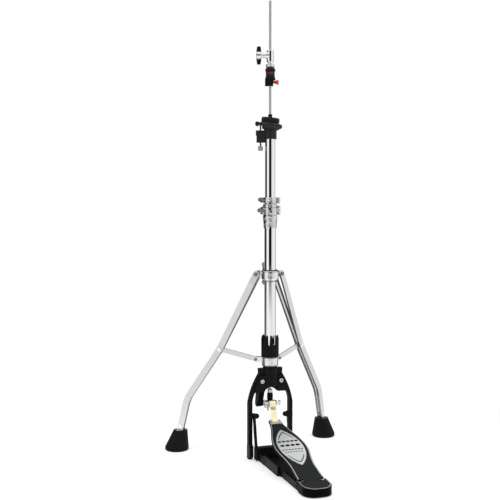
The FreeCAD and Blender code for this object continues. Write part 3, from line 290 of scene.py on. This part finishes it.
def painted(name, base, worn_and_highlit, gloss, peel, depth, level, edge=0.4 * MM, sheen=0.0):
    """Paint, moulded plastic or rubber: mottled tone, fine surface texture and paler edges,
    partly wear and partly a painted highlight.
    """
    look = Look(name)
    normal = look.rounded(edge)
    mottle = look.noise(30 * MM, detail=6)
    texture = look.noise(peel, detail=3)
    tone = look.mix(mottle, [part * 0.75 for part in base], [part * 1.25 for part in base])
    patches = look.scaled(look.noise(6 * MM, 4), 0.1, 1.0)
    # Paler edges in patches: partly wear and partly a painted highlight.
    scuff_and_highlight = look.math("MULTIPLY", look.edges(normal), patches, clamp=True)
    tone = look.mix(scuff_and_highlight, tone, worn_and_highlit)
    rough = look.math("ADD", look.scaled(mottle, *gloss), look.scaled(texture, -0.05, 0.05), clamp=True)
    return look.done(
        Base_Color=tone, Roughness=rough, Specular_IOR_Level=level, Sheen_Weight=sheen,
        Normal=look.bump(texture, depth, normal))


def black_casting():
    return painted("black_casting", (0.0042, 0.0048, 0.0045), (0.03, 0.032, 0.031), (0.42, 0.55),
                   0.9 * MM, 0.02 * MM, 0.1)


def black_plastic():
    return painted("black_plastic", (0.0042, 0.0046, 0.0043), (0.02, 0.021, 0.02), (0.45, 0.6),
                   0.5 * MM, 0.012 * MM, 0.1)


def seat_plastic():
    return painted("seat_plastic", (0.012, 0.0145, 0.0125), (0.05, 0.055, 0.05), (0.38, 0.5),
                   0.6 * MM, 0.012 * MM, 0.22)


def black_rubber():
    return painted("black_rubber", (0.0055, 0.007, 0.006), (0.012, 0.014, 0.013), (0.6, 0.75),
                   1.2 * MM, 0.03 * MM, 0.08, edge=0.8 * MM, sheen=0.01)


def nylon():
    return painted("nylon_liner", (0.02, 0.02, 0.021), (0.05, 0.05, 0.05), (0.35, 0.45),
                   0.6 * MM, 0.01 * MM, 0.4)


def red_plastic():
    return painted("red_plastic", (0.5, 0.03, 0.022), (0.72, 0.14, 0.1), (0.22, 0.32),
                   0.8 * MM, 0.01 * MM, 0.5)


def red_fibre():
    """Pressed fibre washer, built up in thin layers."""
    look = Look("red_fibre")
    layers = look.noise(0.5 * MM, detail=2, stretch=(20, 20, 1))
    tone = look.mix(look.step(layers, 0.4, 0.6), (0.03, 0.006, 0.009), (0.2, 0.036, 0.046))
    return look.done(Base_Color=tone, Roughness=0.85, Specular_IOR_Level=0.2,
                     Normal=look.bump(layers, 0.1 * MM))


def felt():
    """Pressed wool: short tangled fibres over a slow change of tone."""
    look = Look("wool_felt")
    dark, pale = (0.0045, 0.0052, 0.0048), (0.018, 0.02, 0.0185)
    fibres = look.noise(0.45 * MM, detail=8, roughness=0.75)
    clumps = look.noise(3 * MM, detail=3)
    tone = look.mix(fibres, dark, pale)
    tone = look.mix(look.scaled(clumps, 0, 0.5), tone, dark)
    return look.done(Base_Color=tone, Roughness=0.95, Specular_IOR_Level=0.1, Sheen_Weight=0.12,
                     Sheen_Roughness=0.5, Normal=look.bump(fibres, 0.18 * MM))


def flat_up(node):
    """Thin direction of a flat node, pointing up."""
    points = np.array([vertex.co for vertex in frame["nodes"][node].data.vertices])
    spread = np.linalg.svd(points - points.mean(axis=0), full_matrices=False)[2]
    up = Vector(spread[2])
    return -up if up.z < 0 else up


def top_plane(node):
    """(up, level) of the widest flat face of a node that looks up."""
    areas, samples = {}, {}
    for face in frame["nodes"][node].data.polygons:
        if face.normal.z < 0.9:
            continue
        key = (round(face.normal.y, 2), round(face.center.dot(face.normal), 4))
        areas[key] = areas.get(key, 0) + face.area
        if key not in samples or face.area > samples[key].area:
            samples[key] = face
    widest = samples[max(areas, key=areas.get)]
    return widest.normal.copy(), widest.center.dot(widest.normal)


def edge_lined_paint(node):
    """Satin dark paint, with the raised line near the node's edge ground back to bare metal."""
    look = Look(f"{node}_paint")
    up, level = top_plane(node)
    normal = look.rounded(0.4 * MM)
    height = look.math("SUBTRACT", look.along(up), level)
    bare = look.step(height, 0.2 * MM, 0.4 * MM)
    below_hinge = look.step(height, 1.3 * MM, 1.2 * MM)
    bare = look.math("MULTIPLY", bare, below_hinge)
    mottle = look.noise(26 * MM, detail=5)
    texture = look.noise(0.6 * MM, detail=3)
    paint = look.mix(mottle, (0.005, 0.006, 0.006), (0.008, 0.0092, 0.0092))
    # Painted shade: faces that turn away from the top are made darker and less shiny.
    sides = look.step(look.facing(up), 0.75, 0.5)
    # Paler edges: partly wear and partly a painted highlight.
    paint = look.mix(look.math("MULTIPLY", look.edges(normal), 0.4), paint, (0.04, 0.042, 0.042))
    # Painted shade on the sides.
    paint = look.mix(sides, paint, (0.0012, 0.0014, 0.0014))
    tone = look.mix(bare, paint, (0.72, 0.73, 0.74))
    rough = look.math("ADD", look.scaled(mottle, 0.36, 0.48), look.math("MULTIPLY", bare, -0.1))
    return look.done(
        Base_Color=tone, Metallic=bare, Roughness=rough,
        Specular_IOR_Level=look.scaled(sides, 0.11, 0.03), Normal=look.bump(texture, 0.01 * MM, normal))


def board_black():
    return edge_lined_paint("footboard")


def wing_chrome():
    """Chrome hub with black dipped grips that stand out of it above and below."""
    look = Look("wing_chrome")
    low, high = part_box("clutch_wing")
    middle = (low.z + high.z) / 2
    rise = look.math("SUBTRACT", look.along(UP), middle)
    sideways = look.along(AHEAD)
    reach = look.math("SQRT", look.math("ADD", look.math("MULTIPLY", rise, rise),
                                        look.math("MULTIPLY", sideways, sideways)))
    grip = look.step(reach, 10.4 * MM, 10.7 * MM)
    normal = look.rounded(0.4 * MM)
    cloud = look.noise(15 * MM, detail=4)
    texture = look.noise(0.7 * MM, detail=2)
    tone = look.mix(grip, look.mix(cloud, (0.83, 0.84, 0.86), (0.9, 0.91, 0.92)), (0.005, 0.005, 0.0055))
    rough = look.math("ADD", look.scaled(cloud, 0.03, 0.07), look.math("MULTIPLY", grip, 0.45))
    bare = look.math("SUBTRACT", 1.0, grip)
    height = look.math("MULTIPLY", texture, grip)
    return look.done(
        Base_Color=tone, Metallic=bare, Roughness=rough, Specular_IOR_Level=0.15,
        Normal=look.bump(height, 0.03 * MM, normal))


def strap_cloth():
    """Cream webbing: crossed yarns and a little soil, warmer in patches."""
    look = Look("strap_webbing")
    yarns = look.noise(0.3 * MM, detail=3, stretch=(6, 1, 1))
    soil_and_shade = look.noise(12 * MM, detail=5)
    tone = look.mix(yarns, (0.66, 0.6, 0.38), (0.88, 0.83, 0.58))
    tone = look.mix(look.scaled(soil_and_shade, 0, 0.3), tone, (0.72, 0.62, 0.4))
    return look.done(Base_Color=tone, Roughness=0.8, Specular_IOR_Level=0.2, Sheen_Weight=0.15,
                     Normal=look.bump(yarns, 0.08 * MM))


MAKERS = {
    "chrome": chrome,
    "bright_steel": rod_steel,
    "leg_steel": leg_steel,
    "black_casting": black_casting,
    "black_plastic": black_plastic,
    "seat_plastic": seat_plastic,
    "black_rubber": black_rubber,
    "board_black": board_black,
    "badge_silver": badge_silver,
    "zinc": zinc,
    "washer_silver": washer_silver,
    "felt": felt,
    "red_plastic": red_plastic,
    "red_fibre": red_fibre,
    "strap_belt": strap_cloth,
    "nylon": nylon,
    "spring_steel": spring_steel,
}
OWN_FINISHES = (
    (cast_chrome, ("tube_joint", "memory_lock", "collar_wing", "shaft_wing", "lever_arm")),
    (wing_steel, ("tube_joint_wing", "memory_lock_wing")),
    (pin_steel, ("leg_pins", "brace_pins")),
    (socket_steel, ("frame_screws",)),
    (screw_steel, ("tilt_screw",)),
    (wing_chrome, ("clutch_wing",)),
)
finishes = {slot: make() for slot, make in MAKERS.items()}


def finish_nodes():
    """Gives each CAD node the finish of the material slot that the record names for it."""
    for subpart in frame["record"]["subparts"]:
        node = frame["nodes"][subpart["node"]]
        node.material_slots[0].material = finishes[subpart["material_slot"]]
    for make, names in OWN_FINISHES:
        finish = make()
        for name in names:
            frame["nodes"][name].material_slots[0].material = finish
    for make, name in ((edge_lined_paint, "heel_plate"), (ringed_chrome, "leg_collar"),
                       (ringed_chrome, "brace_collar")):
        frame["nodes"][name].material_slots[0].material = make(name)


# Mesh work

def add_mesh(name, points, faces, slot, smooth=True):
    mesh = bpy.data.meshes.new(name)
    mesh.from_pydata([tuple(point) for point in points], [], faces)
    mesh.validate()
    for face in mesh.polygons:
        face.use_smooth = smooth
    mesh.materials.append(finishes[slot])
    piece = bpy.data.objects.new(name, mesh)
    bpy.context.scene.collection.objects.link(piece)
    return piece


def tube_faces(rows, columns):
    """Quads over a grid that closes on itself both ways."""
    faces = []
    for row in range(rows):
        below = (row + 1) % rows
        for column in range(columns):
            beside = (column + 1) % columns
            faces.append((row * columns + column, row * columns + beside,
                          below * columns + beside, below * columns + column))
    return faces


def smooth_outline(corners, spacing, radius=0.7 * MM):
    """Closed outline with its corners cut round, then stepped at an even spacing."""
    corners = [Vector((*corner, 0)) for corner in corners]
    points = []
    for index, corner in enumerate(corners):
        before = corners[index - 1] - corner
        after = corners[(index + 1) % len(corners)] - corner
        start = corner + before * min(0.45, radius / before.length)
        end = corner + after * min(0.45, radius / after.length)
        for part in range(4):
            share = part / 3
            points.append(start.lerp(corner, share).lerp(corner.lerp(end, share), share))
    stepped = []
    for index, point in enumerate(points):
        after = points[(index + 1) % len(points)]
        count = max(1, round((after - point).length / spacing))
        for part in range(count):
            stepped.append(point.lerp(after, part / count))
    return stepped


def felt_ring(name, corners, centre, axis, body, node, fuzz=0.22 * MM):
    """Pressed felt turned from a closed (radius, height) outline, with a fibrous uneven surface."""
    outline = smooth_outline(corners, 0.7 * MM)
    turn = axis.to_track_quat("Z", "Y")
    steps = 140
    points = []
    for spot in outline:
        for index in range(steps):
            angle = 2 * math.pi * index / steps
            point = Vector((spot.x * math.cos(angle), spot.x * math.sin(angle), spot.y))
            slow = noise.noise(point / (7 * MM))
            quick = noise.noise(point / (1.3 * MM))
            share = 1 + (0.8 * slow + 0.6 * quick) * fuzz / max(spot.x, 4 * MM)
            lift = (0.5 * slow + 0.5 * noise.noise(point / (1.1 * MM) + UP)) * fuzz
            point = Vector((point.x * share, point.y * share, point.z + lift))
            points.append(centre + turn @ point)
    ring = add_mesh(name, points, tube_faces(len(outline), steps), "felt")
    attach(ring, body)
    if node:
        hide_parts(node)
    return ring


def build_seat_felt():
    """Crowned felt disc in the tilting cup, leaning with it."""
    points = np.array([vertex.co for vertex in frame["nodes"]["seat_felt"].data.vertices])
    middle = (points.min(axis=0) + points.max(axis=0)) / 2
    axis = Vector(np.linalg.svd(points - points.mean(axis=0), full_matrices=False)[2][2])
    if axis.z < 0:
        axis = -axis
    heights = (points - middle) @ np.array(axis)
    spread = points - middle - np.outer(heights, np.array(axis))
    reach = np.linalg.norm(spread, axis=1).max()
    low, high = heights.min(), heights.max()
    bore = 7.5 * MM
    corners = [
        (bore, low), (reach - 1.2 * MM, low), (reach, low + 2 * MM), (reach + 0.3 * MM, (low + high) / 2),
        (reach - 0.1 * MM, high - 2.4 * MM), (reach - 1.6 * MM, high - 0.3 * MM),
        (reach * 0.6, high + 0.2 * MM), (bore + 2 * MM, high), (bore, high - 1 * MM),
    ]
    felt_ring("seat_felt_pad", corners, Vector(middle), axis, "seat_cup", "seat_felt")


def build_clutch_felts():
    """Two felts that hold the cymbal: a flared upper one, and a lower one squeezed by the nut."""
    low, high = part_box("clutch_felts")
    washer_low, washer_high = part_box("clutch_washer")
    reach = high.x
    bore = 6.3 * MM
    top = high.z - washer_high.z
    upper = [
        (bore, 0.1 * MM), (reach * 0.86, 0.1 * MM), (reach * 0.93, 0.22 * top), (reach, 0.55 * top),
        (reach * 0.97, 0.7 * top), (reach * 0.8, 0.76 * top), (reach * 0.76, top - 0.1 * MM),
        (bore, top - 0.1 * MM),
    ]
    felt_ring("clutch_upper_felt", upper, Vector((0, 0, washer_high.z)), UP, "clutch", "clutch_felts")
    depth = washer_low.z - low.z
    lower = [
        (bore, 0.1 * MM), (reach * 0.88, 0.1 * MM), (reach * 0.92, 0.3 * depth),
        (reach * 0.86, 0.75 * depth), (reach * 0.83, depth - 0.1 * MM), (bore, depth - 0.1 * MM),
    ]
    felt_ring("clutch_lower_felt", lower, Vector((0, 0, low.z)), UP, "clutch", "")


# Drive strap

BELT_THICKNESS = 1.7 * MM
BELT_LOOP = 5.0 * MM
LOOP_FOOT = 6.5 * MM
BELT_TAIL = 19 * MM
BELT_STEP = 0.5 * MM


class Belt:
    """Line of the strap from the toe of the footboard to its loop round the shaft."""

    def __init__(self):
        low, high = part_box("drive_strap")
        shaft_low, shaft_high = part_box("strap_shaft")
        self.half = (high.x - low.x) / 2
        self.shaft = Vector((0, (shaft_low.y + shaft_high.y) / 2, (shaft_low.z + shaft_high.z) / 2))
        self.toe = Vector((0, low.y + 1.2 * MM, low.z + 0.4 * MM))
        self.down = (self.toe - self.shaft).normalized()
        self.out = Vector((0, self.down.z, -self.down.y))
        self.length = (self.toe - self.shaft).length

    def at(self, down, out):
        return self.shaft + self.down * down + self.out * out

    def front(self, down):
        """Middle of the front layer at a distance down from the shaft."""
        share = min(1.0, down / self.length)
        return self.at(down, BELT_LOOP * (1 - share) ** 1.25)

    def hanging(self):
        """Points from the toe up the front to the foot of the loop."""
        steps = 54
        points = []
        for index in range(steps + 1):
            points.append(self.front(self.length + (LOOP_FOOT - self.length) * index / steps))
        return points

    def behind(self, down):
        """Middle of the layer behind, which closes on the front layer towards its sewn end."""
        share = min(1.0, down / BELT_TAIL)
        blend = share * share * (3 - 2 * share)
        closed = self.front(down) - self.out * (BELT_THICKNESS + 0.1 * MM)
        return self.at(down, -BELT_LOOP).lerp(closed, blend)

    def loop(self):
        """Points from the foot of the loop, up the front, over the shaft and down behind."""
        points = []
        for index in range(8):
            points.append(self.front(LOOP_FOOT * (1 - index / 8)))
        for index in range(25):
            angle = math.pi * index / 24
            points.append(self.at(-BELT_LOOP * math.sin(angle), BELT_LOOP * math.cos(angle)))
        for index in range(1, 9):
            points.append(self.behind(LOOP_FOOT * index / 8))
        return points

    def tail(self):
        """Points down behind, from the foot of the loop to the sewn end."""
        points = []
        for index in range(13):
            points.append(self.behind(LOOP_FOOT + (BELT_TAIL - LOOP_FOOT) * index / 12))
        return points


def webbing(name, path, half, thickness, body):
    """Woven band along a path in the side plane, with ribs across it and bound edges."""
    across = 22
    section = []
    for index in range(across + 1):
        section.append((-half + 2 * half * index / across, 1))
    for index in range(across, -1, -1):
        section.append((-half + 2 * half * index / across, -1))
    points = []
    run = 0.0
    for index, centre in enumerate(path):
        before = path[max(0, index - 1)]
        after = path[min(len(path) - 1, index + 1)]
        run += (centre - before).length
        ahead = (after - before).normalized()
        out = Vector((0, -ahead.z, ahead.y))
        for side, face in section:
            rim = min(1.0, (half - abs(side)) / (1.1 * MM))
            swell = thickness / 2 * (0.55 + 0.45 * math.sqrt(rim))
            weave = math.sin(run / (0.32 * MM)) * math.sin(side / (0.5 * MM)) * 0.07 * MM
            binding = 0.12 * MM * math.exp(-((half - abs(side) - 1.3 * MM) / (0.5 * MM)) ** 2)
            waver = noise.noise(Vector((side, run, 0)) / (5 * MM)) * 0.15 * MM
            points.append(centre + out * (face * (swell + weave + binding) + waver) + Vector((side, 0, 0)))
    columns = len(section)
    faces = []
    for row in range(len(path) - 1):
        for column in range(columns):
            beside = (column + 1) % columns
            faces.append((row * columns + column, row * columns + beside,
                          (row + 1) * columns + beside, (row + 1) * columns + column))
    faces.append(tuple(reversed(range(columns))))
    last = (len(path) - 1) * columns
    faces.append(tuple(range(last, last + columns)))
    band = add_mesh(name, points, faces, "strap_belt")
    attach(band, body)
    return band


def finer(path, spacing):
    """The same path stepped at an even, finer spacing."""
    points = [path[0]]
    for start, end in zip(path, path[1:]):
        count = max(1, round((end - start).length / spacing))
        for part in range(1, count + 1):
            points.append(start.lerp(end, part / count))
    return points


def loop_wire(name, centre, right, up, half_width, half_height, wire, slot, squareness=2.0):
    """Closed round-section wire bent to a rounded oblong in the plane of right and up."""
    steps, around = 64, 12
    normal = right.cross(up)
    points = []
    for index in range(steps):
        angle = 2 * math.pi * index / steps
        cosine, sine = math.cos(angle), math.sin(angle)
        spot = Vector((
            half_width * math.copysign(abs(cosine) ** (2 / squareness), cosine),
            half_height * math.copysign(abs(sine) ** (2 / squareness), sine)))
        outward = (right * cosine / half_width + up * sine / half_height).normalized()
        for turn in range(around):
            lean = 2 * math.pi * turn / around
            offset = outward * math.cos(lean) + normal * math.sin(lean)
            points.append(centre + right * spot.x + up * spot.y + offset * wire)
    return add_mesh(name, points, tube_faces(steps, around), slot)


def stitch_points(start, end, count):
    spots = []
    for index in range(count):
        spots.append(start.lerp(end, (index + 0.5) / count))
    return spots


def stitch_row(name, spots, along, out, length, wire, slot):
    """Short rounded stitches lying on a surface, all in one mesh."""
    points, faces = [], []
    side = along.cross(out)
    around, rings = 8, 5
    for spot in spots:
        first = len(points)
        for ring in range(rings):
            share = -1 + 2 * ring / (rings - 1)
            radius = wire * math.sqrt(max(0.12, 1 - share * share * 0.9))
            centre = spot + along * (share * length / 2) + out * (wire * 0.4 * (1 - share * share))
            for turn in range(around):
                angle = 2 * math.pi * turn / around
                points.append(centre + (out * math.cos(angle) + side * math.sin(angle)) * radius)
        for ring in range(rings - 1):
            for turn in range(around):
                beside = (turn + 1) % around
                faces.append((first + ring * around + turn, first + ring * around + beside,
                              first + (ring + 1) * around + beside, first + (ring + 1) * around + turn))
        faces.append(tuple(first + turn for turn in reversed(range(around))))
        faces.append(tuple(first + (rings - 1) * around + turn for turn in range(around)))
    return add_mesh(name, points, faces, slot)


def build_strap():
    """Looped webbing strap with its eyelet and stitching."""
    belt = Belt()
    band = webbing("strap_webbing", finer(belt.hanging(), BELT_STEP), belt.half, BELT_THICKNESS, "strap")
    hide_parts("drive_strap")
    webbing("strap_loop", finer(belt.loop(), BELT_STEP), belt.half, BELT_THICKNESS, "strap")
    tail = webbing("strap_tail", finer(belt.tail(), BELT_STEP), belt.half, BELT_THICKNESS, "strap")
    right = Vector((1, 0, 0))
    surface = BELT_THICKNESS / 2
    eyelet_down = 13.0 * MM
    eyelet_spot = belt.front(eyelet_down) + belt.out * (surface + 0.15 * MM)
    eyelet = loop_wire("strap_eyelet", eyelet_spot, right, -belt.down, 5.0 * MM, 2.5 * MM, 0.8 * MM,
                       "black_casting", squareness=2.6)
    pieces = [band, tail, eyelet]
    rows = (18.2 * MM, 20.0 * MM)
    for index, down in enumerate(rows):
        edge = belt.half - 1.8 * MM
        start = belt.front(down) + belt.out * surface - right * edge
        end = belt.front(down) + belt.out * surface + right * edge
        pieces.append(stitch_row(f"strap_stitches_{index + 1}", stitch_points(start, end, 8), right,
                                 belt.out, 1.1 * MM, 0.16 * MM, "strap_belt"))
    for piece in pieces[2:]:
        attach(piece, "strap")
    for piece in pieces:
        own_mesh(piece)
    build_strap_end(belt)


def build_strap_end(belt):
    """Last turn of the strap, clamped on the toe of the footboard."""
    up = flat_up("badge_plate")
    along = Vector((0, up.z, -up.y))
    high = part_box("strap_clamp")[1]
    top = Vector((0, high.y, high.z)).dot(up)
    start = Vector((0, belt.toe.y, belt.toe.z))
    rest = start + up * (top - start.dot(up) + BELT_THICKNESS / 2 + 0.05 * MM) - along * 2.5 * MM
    path = [start, start.lerp(rest, 0.5) + along * 0.6 * MM, rest]
    for index in range(1, 10):
        path.append(rest - along * index * MM)
    webbing("strap_end", finer(path, BELT_STEP), belt.half * 0.96, BELT_THICKNESS, "footboard")


# Badge plate trim

# Rows of studs: place along the badge from its middle, half length and half width of a stud, and pitch.
STUD_ROWS = (
    (24 * MM, 3.0 * MM, 4.2 * MM, 10.6 * MM),
    (7 * MM, 3.8 * MM, 5.2 * MM, 12.8 * MM),
    (-11 * MM, 1.5 * MM, 2.6 * MM, 7.6 * MM),
    (-21 * MM, 1.3 * MM, 2.0 * MM, 6.6 * MM),
)

def almond_width(length, half_length, half_width, half_tip=3 * MM):
    """Half width of the badge at a distance along it from its middle."""
    rise = half_width - half_tip
    radius = (half_length ** 2 + rise ** 2) / (2 * rise)
    return half_width - radius + math.sqrt(max(0, radius ** 2 - length ** 2))


def tip_line(half_length, half_width, end):
    """Points (along, across) of an inlaid line that turns round one tip of the badge."""
    spots = []
    for side in (-1, 1):
        run = []
        for index in range(25):
            length = half_length * (0.52 + 0.48 * index / 24)
            run.append((end * length, side * almond_width(length, half_length, half_width, 0.4 * MM)))
        spots += run if side < 0 else run[::-1]
    return spots


def build_badge_trim():
    """Thin inlaid lines round the badge's tips, and rows of raised anti-slip studs."""
    up = flat_up("badge_plate")
    across = Vector((1, 0, 0))
    along = up.cross(across)
    points = np.array([vertex.co for vertex in frame["nodes"]["badge_plate"].data.vertices])
    heights = points @ np.array(up)
    lengths = points @ np.array(along)
    centre_length = (lengths.min() + lengths.max()) / 2
    half_length = (lengths.max() - lengths.min()) / 2
    half_width = points[:, 0].max()
    surface = up * heights.max() + along * centre_length

    for name, end in (("badge_line_toe", 1), ("badge_line_heel", -1)):
        outline = tip_line(half_length - 11 * MM, half_width - 5 * MM, end)
        points, faces = [], []
        for index, (length, width) in enumerate(outline):
            before = outline[max(0, index - 1)]
            after = outline[min(len(outline) - 1, index + 1)]
            ahead = (along * (after[0] - before[0]) + across * (after[1] - before[1])).normalized()
            side = ahead.cross(up)
            taper = math.sin(math.pi * (index + 1.5) / (len(outline) + 2)) ** 0.5
            spot = surface + along * length + across * width
            for offset, lift in ((-1.5, -0.2), (-1.3, 0.16), (1.3, 0.16), (1.5, -0.2)):
                points.append(spot + side * offset * taper * MM + up * lift * MM)
        for row in range(len(outline) - 1):
            for column in range(4):
                beside = (column + 1) % 4
                faces.append((row * 4 + column, row * 4 + beside,
                              row * 4 + 4 + beside, row * 4 + 4 + column))
        faces.append((3, 2, 1, 0))
        last = len(points) - 4
        faces.append((last, last + 1, last + 2, last + 3))
        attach(add_mesh(name, points, faces, "black_plastic", smooth=False), "footboard")

    for row, (length, half_deep, half_wide, pitch) in enumerate(STUD_ROWS):
        points, faces = [], []
        room = almond_width(length, half_length, half_width) - 7 * MM
        count = int(2 * room / pitch) + 1
        for index in range(count):
            width = (index - (count - 1) / 2) * pitch
            add_stud(points, faces, surface + along * length + across * width, along, across, up,
                     half_deep, half_wide)
        studs = add_mesh(f"grip_studs_{row + 1}", points, faces, "black_plastic")
        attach(studs, "footboard")


def add_stud(points, faces, centre, along, across, up, half_deep, half_wide):
    """One low rounded stud, added to lists of points and faces."""
    around = 20
    rings = [(1.0, -0.2 * MM), (1.0, 0.3 * MM), (0.82, 0.62 * MM), (0.5, 0.72 * MM)]
    first = len(points)
    for share, lift in rings:
        for index in range(around):
            angle = 2 * math.pi * index / around
            cosine, sine = math.cos(angle), math.sin(angle)
            wide = math.copysign(abs(cosine) ** 0.7, cosine) * half_wide * share
            deep = math.copysign(abs(sine) ** 0.7, sine) * half_deep * share
            points.append(centre + across * wide + along * deep + up * lift)
    for ring in range(len(rings) - 1):
        for index in range(around):
            beside = (index + 1) % around
            faces.append((first + ring * around + index, first + ring * around + beside,
                          first + (ring + 1) * around + beside, first + (ring + 1) * around + index))
    top = first + (len(rings) - 1) * around
    faces.append(tuple(range(top, top + around)))
    faces.append(tuple(first + index for index in reversed(range(around))))


# Studio

def build_floor():
    """Pale round floor that fades to the backdrop's white away from the stand.

    Reflections look through its outer part, so the chrome shows the room all the way down."""
    mesh = bpy.data.meshes.new("floor")
    reach = 1.4
    sides = 96
    rim = []
    for index in range(sides):
        angle = 2 * math.pi * index / sides
        rim.append((reach * math.cos(angle), reach * math.sin(angle), 0))
    mesh.from_pydata(rim, [], [tuple(range(sides))])
    look = Look("floor_paint")
    tint = look.noise(0.4, detail=3)
    tone = look.mix(tint, (0.9, 0.9, 0.9), (0.92, 0.92, 0.92))
    look.done(Base_Color=tone, Roughness=0.8, Specular_IOR_Level=0.1)
    distance = look.add("ShaderNodeVectorMath", operation="LENGTH")
    look.feed(distance.inputs[0], look.place)
    white = look.add("ShaderNodeEmission")
    white.inputs["Strength"].default_value = 1.0
    share = look.scaled(look.step(distance.outputs["Value"], 0.25, 0.9), 0.35, 1.0)
    blend = look.add("ShaderNodeMixShader")
    look.feed(blend.inputs[0], share)
    look.feed(blend.inputs[1], look.shader.outputs[0])
    look.feed(blend.inputs[2], white.outputs[0])
    path = look.add("ShaderNodeLightPath")
    clear = look.add("ShaderNodeBsdfTransparent")
    beyond = look.step(distance.outputs["Value"], 0.35, 0.7)
    mirrored = look.math("MULTIPLY", beyond, path.outputs["Is Glossy Ray"])
    seen = look.add("ShaderNodeMixShader")
    look.feed(seen.inputs[0], mirrored)
    look.feed(seen.inputs[1], blend.outputs[0])
    look.feed(seen.inputs[2], clear.outputs[0])
    look.links.new(seen.outputs[0], look.nodes["Material Output"].inputs["Surface"])
    mesh.materials.append(look.material)
    floor = bpy.data.objects.new("floor", mesh)
    bpy.context.scene.collection.objects.link(floor)


def build_world():
    """White surroundings with a dark card by the camera and grey flanks, seen in the chrome."""
    world = bpy.data.worlds.new("studio")
    bpy.context.scene.world = world
    world.use_nodes = True
    nodes, links = world.node_tree.nodes, world.node_tree.links
    ray = nodes.new("ShaderNodeTexCoord").outputs["Generated"]

    def part(direction):
        made = nodes.new("ShaderNodeVectorMath")
        made.operation = "DOT_PRODUCT"
        links.new(ray, made.inputs[0])
        made.inputs[1].default_value = direction
        return made.outputs["Value"]

    def math_node(operation, first, second=None):
        made = nodes.new("ShaderNodeMath")
        made.operation = operation
        for socket, value in zip(made.inputs, (first, second)):
            if isinstance(value, bpy.types.NodeSocket):
                links.new(value, socket)
            elif value is not None:
                socket.default_value = value
        return made.outputs[0]

    def ramp(value, stops):
        made = nodes.new("ShaderNodeValToRGB")
        links.new(value, made.inputs[0])
        band = made.color_ramp
        band.elements[0].position, band.elements[1].position = stops[0][0], stops[-1][0]
        band.elements[0].color = (*[stops[0][1]] * 3, 1)
        band.elements[1].color = (*[stops[-1][1]] * 3, 1)
        for spot, level in stops[1:-1]:
            band.elements.new(spot).color = (*[level] * 3, 1)
        return made.outputs["Color"]

    def turn_share(degrees):
        return (degrees + 180) / 360

    def rise_share(degrees):
        return (math.sin(math.radians(degrees)) + 1) / 2

    turn = math_node("ARCTAN2", part(RIGHT), part(-AHEAD))
    turn = math_node("MULTIPLY_ADD", turn, 1 / (2 * math.pi))
    turn.node.inputs[2].default_value = 0.5
    rise = math_node("MULTIPLY_ADD", part(UP), 0.5)
    rise.node.inputs[2].default_value = 0.5

    room = ramp(turn, [(0, 0.34), (turn_share(-120), 0.2), (turn_share(-84), 0.14), (turn_share(-68), 0.95),
                       (turn_share(-24), 1.0), (turn_share(30), 0.8), (turn_share(117), 1.0),
                       (turn_share(127), 0.3), (1, 0.34)])
    card = ramp(turn, [(turn_share(-140), 0), (turn_share(-128), 0.85), (turn_share(-86), 0.85),
                       (turn_share(-74), 0), (turn_share(-28), 0), (turn_share(-25), 1),
                       (turn_share(28), 1), (turn_share(31), 0)])
    card_height = ramp(rise, [(rise_share(-8.5), 0), (rise_share(-5), 1), (rise_share(26), 1),
                              (rise_share(30), 0)])
    ceiling = ramp(rise, [(rise_share(26), 0), (rise_share(44), 1)])
    card = math_node("MULTIPLY", card, card_height)
    lit = math_node("MAXIMUM", room, ceiling)
    lit = math_node("MULTIPLY", lit, math_node("SUBTRACT", 1.0, math_node("MULTIPLY", card, 0.99)))
    seen = nodes.new("ShaderNodeBackground")
    links.new(lit, seen.inputs["Strength"])
    plain = nodes.new("ShaderNodeBackground")
    plain.inputs["Color"].default_value = (1, 1, 1, 1)
    seen.inputs["Color"].default_value = (1, 1, 1, 1)
    path = nodes.new("ShaderNodeLightPath")
    blend = nodes.new("ShaderNodeMixShader")
    links.new(path.outputs["Is Camera Ray"], blend.inputs[0])
    links.new(seen.outputs[0], blend.inputs[1])
    links.new(plain.outputs[0], blend.inputs[2])
    links.new(blend.outputs[0], nodes["World Output"].inputs["Surface"])


def add_softbox(name, place, target, size, power):
    light = bpy.data.lights.new(name, "AREA")
    light.shape = "RECTANGLE"
    light.size, light.size_y = size
    light.energy = power
    lamp = bpy.data.objects.new(name, light)
    lamp.location = place
    lamp.rotation_euler = (target - place).to_track_quat("-Z", "Y").to_euler()
    lamp.visible_glossy = False
    bpy.context.scene.collection.objects.link(lamp)


def build_camera():
    """Camera 0.7 m up and 2.3 m back from the rod, aimed a little below the middle."""
    camera = bpy.data.cameras.new("camera")
    camera.sensor_width = 36
    camera.lens = 66.7
    eye = bpy.data.objects.new("camera", camera)
    eye.location = (-0.789, -2.169, 0.688)
    camera.shift_y = -0.055
    aim = AHEAD - RIGHT * 0.0219 - UP * 0.0423
    eye.rotation_euler = aim.to_track_quat("-Z", "Y").to_euler()
    bpy.context.scene.collection.objects.link(eye)
    bpy.context.scene.camera = eye


def build_studio():
    build_floor()
    build_world()
    middle = Vector((0, 0, 0.5))
    add_softbox("overhead", Vector((0, 0, 3.2)), middle, (2.6, 2.6), 60)
    left = middle - AHEAD * 2.4 - RIGHT * 2.2 + UP * 1.2
    right = middle - AHEAD * 1.6 + RIGHT * 2.6 + UP * 0.8
    add_softbox("left_softbox", left, middle, (1.6, 2.2), 38)
    add_softbox("right_softbox", right, middle, (1.2, 2.0), 22)
    build_camera()
    bpy.context.scene.view_settings.view_transform = "Standard"


finish_nodes()
build_seat_felt()
build_clutch_felts()
build_strap()
build_badge_trim()
build_studio()
